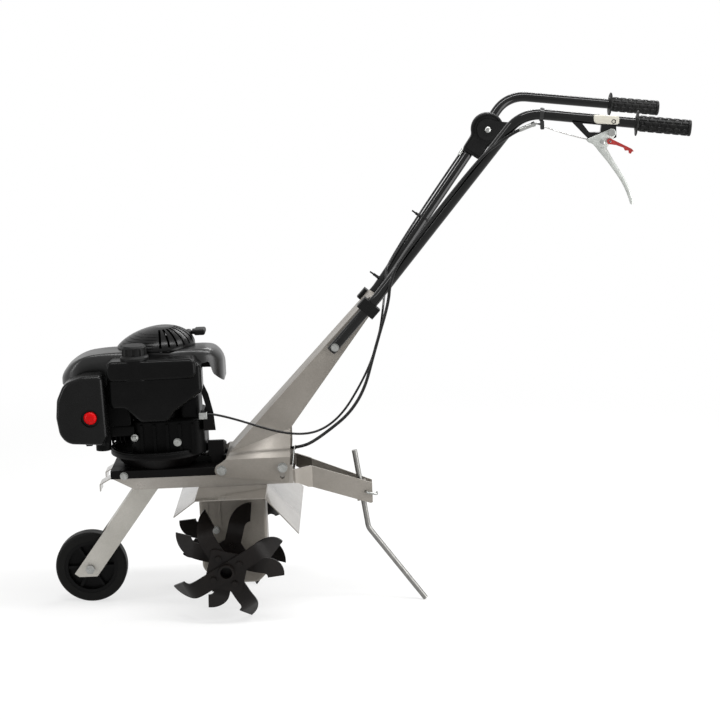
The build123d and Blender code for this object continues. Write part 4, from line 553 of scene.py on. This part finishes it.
# throttle body on the right bar: a round moulding with a square-ended tail to the lower left, its outline the
# larger of a circle and a rounded oblong at each angle, drawn forward in steps with a groove near the rim,
# and a collar round the bar
throttleShape = {"disc": 37.0, "tailWay": (-0.582, -0.813), "tailLong": 68.0, "tailHalf": 22.5, "sides": 240,
                 "power": 14, "proud": 24, "hub": (-15.0, 18.0),
                 "barY": 205.8, "collar": (612.4, 205.8, 899.7), "barWay": (0.582, 0.323, 0.746),
                 "steps": [(11, 2), (9.5, 0.4), (8, 0), (-11.5, 0), (-13.4, 0.5), (-14.6, 1.7), (-15, 3.4),
                           (-15, 4.6), (-13.8, 5.2), (-13.8, 7), (-15, 7.6)],
                 "ring": [(-17, 11.1), (-17, 13.6), (-15.4, 15), (15.4, 15), (17, 13.6), (17, 11.1)]}


def throttleMoulding():
    shape = throttleShape
    centre, power = pivot("throttle_turn"), shape["power"]
    turn = np.linspace(0, 2 * np.pi, shape["sides"], endpoint=False)
    lean = turn - np.arctan2(shape["tailWay"][1], shape["tailWay"][0])
    ahead = np.clip(np.cos(lean), 0, None) / shape["tailLong"]
    oblong = (ahead ** power + (np.abs(np.sin(lean)) / shape["tailHalf"]) ** power + 1e-40) ** (-1 / power)
    oblong = np.where(np.cos(lean) > 0, oblong, 0)
    outline = (shape["disc"] ** power + oblong ** power) ** (1 / power)
    deep = np.array([step[0] for step in shape["steps"]] + [shape["hub"][0]])
    reach = np.array([outline - step[1] for step in shape["steps"]] + [np.full(shape["sides"], shape["hub"][1])])
    level = np.stack([centre[0] + reach * np.cos(turn),
                      np.broadcast_to((shape["barY"] - shape["proud"] + deep)[:, None], reach.shape),
                      centre[2] + reach * np.sin(turn)], -1)
    ring = np.array(shape["ring"])
    return joined([capped(place(level)),
                   looped(ringsRound(shape["collar"], shape["barWay"], ring[:, 0], ring[:, 1], 40))])


throttleBody = addPiece("throttleBody", throttleMoulding(), matteBlack, "handle")
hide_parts("throttle_housing")

# rivet of the throttle: a low dome on the lever's pin
rivetShape = {"base": pivot("throttle_turn") * (1, 0, 1) + (0, 160.3, 0), "way": (0, -1, 0),
              "along": [0, 2.3, 3.6, 4.4, 4.7], "radius": [6.6, 6.6, 5.3, 3.0, 0.4], "sides": 32}
addPiece("throttleRivet", turned(rivetShape), zinc, "handle")

# pressed ferrule round the throttle cable where it leaves the body
ferruleShape = {"base": (560.1, 182.9, 855.6), "way": (-0.589, -0.323, -0.740), "along": [0, 0.8, 18, 19],
                "radius": [3.2, 4.0, 4.0, 3.0], "sides": 28}
addPiece("throttleFerrule", turned(ferruleShape), zinc, "handle")
print("throttle moulded")

# engine shroud: one closed surface. Its rows rise from the lower edge up the wall, round the shoulder and in
# over the top to the opening under the dome, and come back inside by a wall thickness. Its columns go round a
# plan with four corner arcs. Height = side outline at x, less the far shoulder's circle, less the edge's arc.
shroudShape = {"x": (-348.0, 7.0), "y": (-78.0, 95.0), "corners": (62.0, 48.0, 48.0, 48.0), "edge": 18.0,
               "wall": 3.5, "hole": (-145.0, 0.0, 73.0), "skirt": (-140.1, 0.0, 86.6), "perArc": 30, "perRun": 60,
               "far": (-4.0, 102.0), "farShare": 0.93, "stations": (-400, 60, 0.5), "meanOver": 61,
               "lip": 2, "nearUntil": 10,
               "side": [(-348, 424), (-341, 432), (-319, 452), (-289, 465.5), (-251, 469.5), (-200, 470.5),
                        (-26, 470.5), (-6, 466), (7, 449)],
               "nearLow": [(-348, 400), (-237, 400), (-228, 436), (-30, 440), (-21, 443), (-14, 414), (2, 396),
                           (7, 390)],
               "farLow": [(-348, 400), (-20, 398), (7, 390)]}


def shroudPlan(inset):
    # outline counter-clockwise from above, from the near rear corner: arcs and straight runs between them
    shape = shroudShape
    (x0, x1), (y0, y1) = shape["x"], shape["y"]
    radii = [radius - inset for radius in shape["corners"]]
    middles = [(x1 - inset - radii[0], y0 + inset + radii[0]), (x1 - inset - radii[1], y1 - inset - radii[1]),
               (x0 + inset + radii[2], y1 - inset - radii[2]), (x0 + inset + radii[3], y0 + inset + radii[3])]
    run = np.linspace(0, 1, shape["perRun"], endpoint=False)[1:, None]
    pieces = []
    for corner in range(4):
        turn = np.radians(-90 + 90 * corner) + np.linspace(0, np.pi / 2, shape["perArc"])
        arc = np.array(middles[corner]) + radii[corner] * np.stack([np.cos(turn), np.sin(turn)], -1)
        after = (corner + 1) % 4
        turnAfter = np.radians(-90 + 90 * after)
        begin = np.array(middles[after]) + radii[after] * np.array([np.cos(turnAfter), np.sin(turnAfter)])
        pieces += [arc, arc[-1] + run * (begin - arc[-1])]
    return np.concatenate(pieces)


def shroudSkin(inset, topShare, edgeTurn):
    # x, y, z of each row: up the wall, round the edge's arc, then straight in to the opening
    shape = shroudShape
    outline = shroudPlan(inset)
    ways = outline - np.array(shape["hole"][:2])
    ways /= np.linalg.norm(ways, axis=1, keepdims=True)
    isFar = ways[:, 1:] > 0
    opening = np.where(isFar, np.array(shape["skirt"][:2]) + shape["skirt"][2] * ways,
                       np.array(shape["hole"][:2]) + shape["hole"][2] * ways)
    inward = opening - outline
    room = np.linalg.norm(inward, axis=1, keepdims=True)
    inward /= room
    edge = np.minimum(shape["edge"] - inset, 0.9 * room)

    # side outline with its corners eased by a running mean over 30 mm
    stations = np.arange(*shape["stations"])
    profile = np.interp(stations, *np.array(shape["side"], float).T)
    over, trim = shape["meanOver"], shape["meanOver"] // 2
    profile[trim:-trim] = np.convolve(profile, np.ones(over) / over, "valid")

    def height(flat):
        side = np.interp(flat[..., 0], stations, profile) - inset
        middle, radius = shape["far"]
        off = np.clip(flat[..., 1] - middle, 0, shape["farShare"] * radius)
        return side - (radius - np.sqrt(radius ** 2 - off ** 2))

    nearLow, farLow = (np.interp(outline[:, 0], *np.array(shape[name], float).T) for name in ("nearLow", "farLow"))
    low = np.where(outline[:, 1] < shape["nearUntil"], nearLow, farLow)
    least = low + shape["lip"]
    rows = []
    shoulder = np.maximum(height(outline) - edge[:, 0], least)
    for share in (0.0, 0.5):
        rows.append(np.column_stack([outline, low + share * (shoulder - low)]))
    for turn in edgeTurn:
        flat = outline + inward * edge * (1 - math.cos(turn))
        rise = np.maximum(height(flat) - edge[:, 0] * (1 - math.sin(turn)), least)
        rows.append(np.column_stack([flat, rise]))
    for share in topShare:
        flat = outline + inward * (edge + share * (room - edge))
        rows.append(np.column_stack([flat, np.maximum(height(flat), least)]))
    return np.stack(rows)


def shroudShell():
    # outer skin up and in, then the inner skin back, one wall thickness inside it
    edgeTurn = np.linspace(0, np.pi / 2, 9)
    topShare = np.linspace(0.06, 1, 14)
    outer = shroudSkin(0.0, topShare, edgeTurn)
    inner = shroudSkin(shroudShape["wall"], topShare, edgeTurn)
    return looped(place(np.concatenate([outer, inner[::-1]])))


engineShroud = addPiece("engineShroud", shroudShell(), shroudBlack, "frame", 50)
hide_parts("blower_housing")
print("shroud formed")


def softBlock(low, high, power, along, steps=9, ease=0.16, sides=48):
    # a block with eased edges: rounded oblongs (cos and sin to a power) along one axis, smaller at both ends
    low, high = np.array(low, float), np.array(high, float)
    middle, half = (low + high) / 2, (high - low) / 2
    first, second = [(1, 2), (2, 0), (0, 1)][along]
    cosine, sine = squaredTurn(sides, power)
    rings = np.zeros((2 * steps, sides, 3))
    lean = np.linspace(0, np.pi / 2, steps)
    near = min(half[first], half[second]) * ease
    shrink = np.concatenate([near * (1 - np.sin(lean)), near * (1 - np.cos(lean))])
    run = np.concatenate([-half[along] + near * (1 - np.cos(lean)), half[along] - near * (1 - np.sin(lean))])
    rings[..., along] = middle[along] + run[:, None]
    rings[..., first] = middle[first] + (half[first] - shrink)[:, None] * cosine
    rings[..., second] = middle[second] + (half[second] - shrink)[:, None] * sine
    return capped(place(rings))


# intake between the air cleaner and the cylinder: a casting behind the tank and the pipe below it
intakeShape = {"casting": ((-276, -77, 300), (-198, -53, 396), 0.3, 2),
               "pipe": ((-262, -80, 283), (-192, -52, 309), 0.5, 0)}
addPiece("intakeCasting", joined([softBlock(*block) for block in intakeShape.values()]), caseBlack, "frame")
# rear top of the crankcase, behind the tank's slanted end
topShape = {"low": (-92, -70, 316), "high": (-47, 34, 397), "power": 0.35, "along": 2}
addPiece("crankcaseTop", softBlock(**topShape), caseBlack, "frame")
# pressed clip that holds the end of the throttle cable
clipShape = {"low": (-48, -92.5, 317.5), "high": (-30, -79, 334), "power": 0.3, "along": 0}
addPiece("cableClip", softBlock(**clipShape), zinc, "frame")
# rope guide of the starter: a boss on the dome that narrows to the grip
guideShape = {"base": (-92, 20, 484), "way": (1.0, 0.0, 0.3), "along": [0, 8, 20, 27, 30, 31.4, 31.4],
              "radius": [13, 11.5, 9.6, 8.6, 7.2, 5.6, 2.0], "sides": 36}
addPiece("starterGuide", turned(guideShape), shroudBlack, "frame")
# flange bolt at the front of the crankcase
boltShape = {"base": (-192, -79, 281), "way": (0, -1, 0), "along": [0, 3.5, 4.6, 8, 8.8],
             "radius": [8, 8, 5.4, 5.4, 4.6], "sides": 24}
addPiece("flangeBolt", turned(boltShape), zinc, "frame")
print("engine pieces added")

# clutch lever: two side cheeks, each the outline round three circles with eased edges, and a bar between them
# that narrows and bends to the tip
leverShape = {"middle": -244.08, "circles": [(801, 905.5, 5.0), (846, 919, 9.0), (831, 896, 8.0)],
              "cheekDeep": [(10.8, 0.9), (10.4, 0.3), (9.8, 0), (8.4, 0), (7.8, 0.5)],
              "bar": [(806, 906, 7.0, 6.6), (827.2, 885.2, 8.6, 7.4), (845, 857.2, 5.9, 7.2), (863, 829, 5.0, 6.8),
                      (874.2, 806, 4.7, 6.4), (881.6, 786.5, 4.1, 6.0), (885, 771.5, 3.4, 5.2),
                      (885.4, 769, 1.6, 3.6)], "barSides": 32, "barPower": 0.6, "lineOrder": 5}


def leverCasting():
    shape = leverShape
    steps = np.array(shape["cheekDeep"])
    cheeks = [hullPlate(shape["circles"], steps[::side] * (side, 1) + (shape["middle"], 0)) for side in (1, -1)]
    # the bar: rounded oblongs square to a smooth line through the listed places
    bar = np.array(shape["bar"])
    far = np.concatenate([[0], np.cumsum(np.hypot(*np.diff(bar[:, :2], axis=0).T))])
    step = np.concatenate([np.linspace(0, far[-2], 60), [far[-1]]])
    x, z = (np.polyval(np.polyfit(far, bar[:, column], shape["lineOrder"]), step) for column in (0, 1))
    line = np.stack([x, np.zeros(len(step)), z], -1)
    tangent = np.gradient(line, axis=0)
    tangent /= np.linalg.norm(tangent, axis=1, keepdims=True)
    first = np.cross((0, 1, 0), tangent)
    second = np.cross(tangent, first)
    cosine, sine = squaredTurn(shape["barSides"], shape["barPower"])
    wide, thick = np.interp(step, far, bar[:, 2]), np.interp(step, far, bar[:, 3])
    rings = (line[:, None] + (wide[:, None] * cosine)[..., None] * first[:, None]
             + (thick[:, None] * sine)[..., None] * second[:, None] + (0, shape["middle"], 0))
    return joined(cheeks + [capped(place(rings))])


clutchArm = addPiece("clutchArm", leverCasting(), leverCast, "clutch")
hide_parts("clutch_lever")
# rivet through the cheeks
pinShape = {"base": (827, -254.6, 900.5), "way": (0, -1, 0), "along": [0, 1.6, 2.3, 2.5],
            "radius": [4.6, 4.6, 3.6, 0.4], "sides": 28}
addPiece("leverRivet", turned(pinShape), zinc, "clutch")

# lever bracket: a closed hoop under the left bar, let into the bar along its top, its section a chamfered
# oblong carried round a window
bracketShape = {"middle": -244.08, "half": 7.5, "chamfer": 0.8, "perSide": 24, "easings": 3,
                "outer": [(764, 945.8), (856, 933.6), (856, 909), (845, 905.4), (797, 909.5)],
                "window": [(786.6, 940.7), (825.5, 937), (824.4, 930), (823, 920.7), (800.5, 921.7)]}


def leverHoop():
    shape = bracketShape
    share = np.arange(shape["perSide"]) / shape["perSide"]
    outlines = []
    for corners in (np.array(shape["outer"], float), np.array(shape["window"], float)):
        after = np.roll(corners, -1, 0)
        line = (corners[:, None] + share[None, :, None] * (after - corners)[:, None]).reshape(-1, 2)
        # corners eased by averaging each point with its neighbours
        for easing in range(shape["easings"]):
            line = (np.roll(line, 1, 0) + 2 * line + np.roll(line, -1, 0)) / 4
        outlines.append(line)
    outer, inner = outlines
    inward = inner - outer
    inward /= np.linalg.norm(inward, axis=1, keepdims=True)
    half, cut = shape["half"], shape["chamfer"]
    section = [(outer, half - cut), (outer + cut * inward, half), (inner - cut * inward, half), (inner, half - cut),
               (inner, cut - half), (inner - cut * inward, -half), (outer + cut * inward, -half),
               (outer, cut - half)]
    rings = np.stack([np.stack([flat[:, 0], np.full(len(flat), shape["middle"] + deep), flat[:, 1]], -1)
                      for flat, deep in section], 1)
    return looped(place(rings))


bracketHoop = addPiece("leverHoop", leverHoop(), tubeBlack, "handle")
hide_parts("lever_bracket")

# pale plate on the bar: the outline round four corner circles, with eased edges front and back
plateShape = {"circles": [(813, 954.3, 3.0), (818, 947.6, 8.0), (855.4, 942.2, 6.0), (857.6, 949.4, 4.0)],
              "steps": [(-251.7, 0.8), (-252.4, 0.0), (-258.5, 0.0), (-259.1, 0.4), (-259.3, 1.0)]}
roundedPlate = addPiece("roundedPlate", hullPlate(**plateShape), plateCream, "handle")
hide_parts("lever_plate")
print("clutch lever and bracket made")

# cable ties: each band is the outline round the bar and the cable together (at each angle the farther of
# the two circles), with a head and a cut tail beyond the cable. The bar's place is at its own share of the run,
# and the cable stands off the bar a little more for each share below it.
tieShape = {"bar": (585.2, 190.7, 864.8), "barWay": (0.582, 0.323, 0.746), "out": (0.788, 0.0, -0.615),
            "runLength": 537.6, "barShare": 0.745, "shares": (0.355, 0.04), "standOff": 14, "moreOff": 3,
            "moreOver": 0.625, "barRadius": 11.15, "cableRadius": 2.7, "thick": 1.3,
            "halfWide": 2.2, "tail": [(-0.5, 3.0, 2.2), (4.2, 3.0, 2.2), (4.6, 1.9, 0.9), (13, 1.9, 0.9),
                                      (14, 1.2, 0.8)]}


def cableTie(share):
    shape = tieShape
    barWay = np.array(shape["barWay"]) / np.linalg.norm(shape["barWay"])
    out = np.array(shape["out"])
    side = np.cross(out, barWay)
    centre = np.array(shape["bar"]) + (share - shape["barShare"]) * shape["runLength"] * barWay
    cable = shape["standOff"] + shape["moreOff"] * (shape["barShare"] - share) / shape["moreOver"]
    turn = np.linspace(0, 2 * np.pi, 64, endpoint=False)
    normal = np.cos(turn)[:, None] * out + np.sin(turn)[:, None] * side
    onCable = -cable * np.cos(turn) + shape["cableRadius"] > shape["barRadius"]
    inner = np.where(onCable[:, None], -cable * out + shape["cableRadius"] * normal, shape["barRadius"] * normal)
    outer = inner + shape["thick"] * normal
    wide = shape["halfWide"] * np.cross(np.roll(normal, -1, 0) - normal, normal)
    wide *= shape["halfWide"] / np.linalg.norm(wide, axis=1, keepdims=True)
    band = np.stack([outer + wide, inner + wide, inner - wide, outer - wide], 1)
    # head and tail: rounded oblongs along the line out past the cable, half width and half height changing
    tail = np.array(shape["tail"])
    oblong = np.stack(squaredTurn(16, 0.5), -1)
    first, second = barWay, np.cross(-out, barWay)
    start = -(cable + shape["cableRadius"]) * out
    strip = (start - tail[:, 0, None, None] * out + tail[:, 1, None, None] * oblong[None, :, :1] * first
             + tail[:, 2, None, None] * oblong[None, :, 1:] * second)
    return [looped(place(centre + band)), capped(place(centre + strip))]


addPiece("cableTies", joined([part for share in tieShape["shares"] for part in cableTie(share)]), matteBlack,
         "handle")
print("cable ties made")

# bare clutch wire from the adjuster to the lever's pin, with a slight sag
wireShape = {"start": (700, -242.8, 940.2), "end": (801, -244.0, 905.5), "radius": 0.0012, "sag": 2.0}
share = np.linspace(0, 1, 24)[:, None]
wireLine = place(np.array(wireShape["start"]) + share * np.subtract(wireShape["end"], wireShape["start"])
                 - wireShape["sag"] * np.sin(np.pi * share) * (0.0, 0.0, 1.0))
clutchWire = addPiece("clutchWire", capped(ringsAlong(wireLine, wireShape["radius"], 10, (0.1, 1.0, 0.2))), steel)
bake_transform(clutchWire)

# small black ring on the pale plate, a torus lying on its face
ringShape = {"centre": (850.2, -259.0, 942.6), "way": (-0.05, -0.9987, 0.0), "ring": 4.0, "wire": 0.9}
turn = np.linspace(0, 2 * np.pi, 12, endpoint=False)
ringRows = ringsRound(ringShape["centre"], ringShape["way"], -ringShape["wire"] * np.cos(turn),
                      ringShape["ring"] + ringShape["wire"] * np.sin(turn), 36)
addPiece("plateRing", looped(ringRows), matteBlack, "handle")

# return wire at the foot of the clutch cable, hooked over the cable and let into the hitch cheek
hookShape = {"points": [(150, -50, 228), (158, -50, 233), (160, -52, 242), (156, -57, 243), (153.5, -63, 232),
                        (151.5, -70, 218), (150, -75, 204), (148, -75, 192)], "radius": 0.0012}
hookLine = routeLine(hookShape["points"], 8)
addPiece("returnWire", capped(ringsAlong(hookLine, hookShape["radius"], 10, (0.3, 1, 0.5))), zinc, "frame")
print("wires and ring added")

# plain studio: pale floor, white surround for what the camera and glossy rays see, even lamps
studio = {"floor": "#f4f4f3", "ambient": 0.22, "floorShare": 0.7, "fadeFrom": 0.9, "fadeTo": 2.6,
          "halfFloor": 6.0, "lamps": [
    ((0.0, -0.7, 3.3), (0.0, 0.0, 0.4), 3.0, 0.3, 78),
    ((-3.0, -1.2, 1.2), (0.0, 0.0, 0.6), 0.5, 2.2, 30),
    ((0.9, 2.2, 2.6), (0.1, 0.0, 0.5), 2.0, 0.3, 40),
    ((1.9, -0.8, 0.63), (-0.35, 0.0, 0.55), 1.6, 1.2, 34),
    ((1.5, -0.1, 2.5), (-0.2, 0.0, 0.5), 0.9, 0.9, 30)]}


def addLamp(number, stand, aim, wide, tall, power):
    # one soft box that looks from its stand to its aim
    lamp = bpy.data.lights.new(f"softBox{number}", "AREA")
    lamp.shape = "RECTANGLE"
    lamp.size, lamp.size_y = wide, tall
    lamp.energy = power
    holder = bpy.data.objects.new(f"softBox{number}", lamp)
    bpy.context.scene.collection.objects.link(holder)
    holder.location = stand
    holder.rotation_euler = (Vector(aim) - Vector(stand)).to_track_quat("-Z", "Y").to_euler()


for number, lampLook in enumerate(studio["lamps"]):
    addLamp(number, *lampLook)

world = bpy.data.worlds.new("whiteSurround")
bpy.context.scene.world = world
world.use_nodes = True
tree = world.node_tree
tree.nodes.clear()
rays = addNode(tree, "ShaderNodeLightPath")
shiny = addNode(tree, "ShaderNodeMath", {"operation": "MAXIMUM"},
                {0: rays.outputs["Is Glossy Ray"], 1: rays.outputs["Is Transmission Ray"]})
seen = addNode(tree, "ShaderNodeMath", {"operation": "MAXIMUM"},
               {0: rays.outputs["Is Camera Ray"], 1: shiny.outputs["Value"]})
fill = addNode(tree, "ShaderNodeBackground", None, {"Color": (1, 1, 1, 1), "Strength": studio["ambient"]})
white = addNode(tree, "ShaderNodeBackground", None, {"Color": (1, 1, 1, 1), "Strength": 1.0})
mixed = addNode(tree, "ShaderNodeMixShader", None,
                {0: seen.outputs["Value"], 1: fill.outputs["Background"], 2: white.outputs["Background"]})
addNode(tree, "ShaderNodeOutputWorld", None, {"Surface": mixed.outputs["Shader"]})

# the floor keeps the shadow near the machine and turns to the surround's white farther out
floorMaterial = bpy.data.materials.new("paleStudioFloor")
floorMaterial.use_nodes = True
tree = floorMaterial.node_tree
tree.nodes.clear()
rays = addNode(tree, "ShaderNodeLightPath")
seen = addNode(tree, "ShaderNodeMath", {"operation": "MAXIMUM"},
               {0: rays.outputs["Is Camera Ray"], 1: rays.outputs["Is Glossy Ray"]})
coords = addNode(tree, "ShaderNodeTexCoord").outputs["Object"]
away = addNode(tree, "ShaderNodeVectorMath", {"operation": "LENGTH"}, {0: coords})
fade = addNode(tree, "ShaderNodeMapRange", {"interpolation_type": "SMOOTHSTEP"},
               {"Value": away.outputs["Value"], "From Min": studio["fadeFrom"], "From Max": studio["fadeTo"],
                "To Min": studio["floorShare"], "To Max": 1.0})
share = addNode(tree, "ShaderNodeMath", {"operation": "MULTIPLY"},
                {0: seen.outputs["Value"], 1: fade.outputs["Result"]})
paper = addNode(tree, "ShaderNodeBsdfDiffuse", None, {"Color": toLinear(studio["floor"])})
glow = addNode(tree, "ShaderNodeEmission", None, {"Color": (1, 1, 1, 1), "Strength": 1.0})
mixed = addNode(tree, "ShaderNodeMixShader", None,
                {0: share.outputs["Value"], 1: paper.outputs["BSDF"], 2: glow.outputs["Emission"]})
addNode(tree, "ShaderNodeOutputMaterial", None, {"Surface": mixed.outputs["Shader"]})
floorCorners = studio["halfFloor"] * np.array([[-1, -1, 0], [1, -1, 0], [1, 1, 0], [-1, 1, 0]], float)
floor = addPiece("studioFloor", (floorCorners, [[0, 1, 2, 3]]), floorMaterial)
print("studio lit")
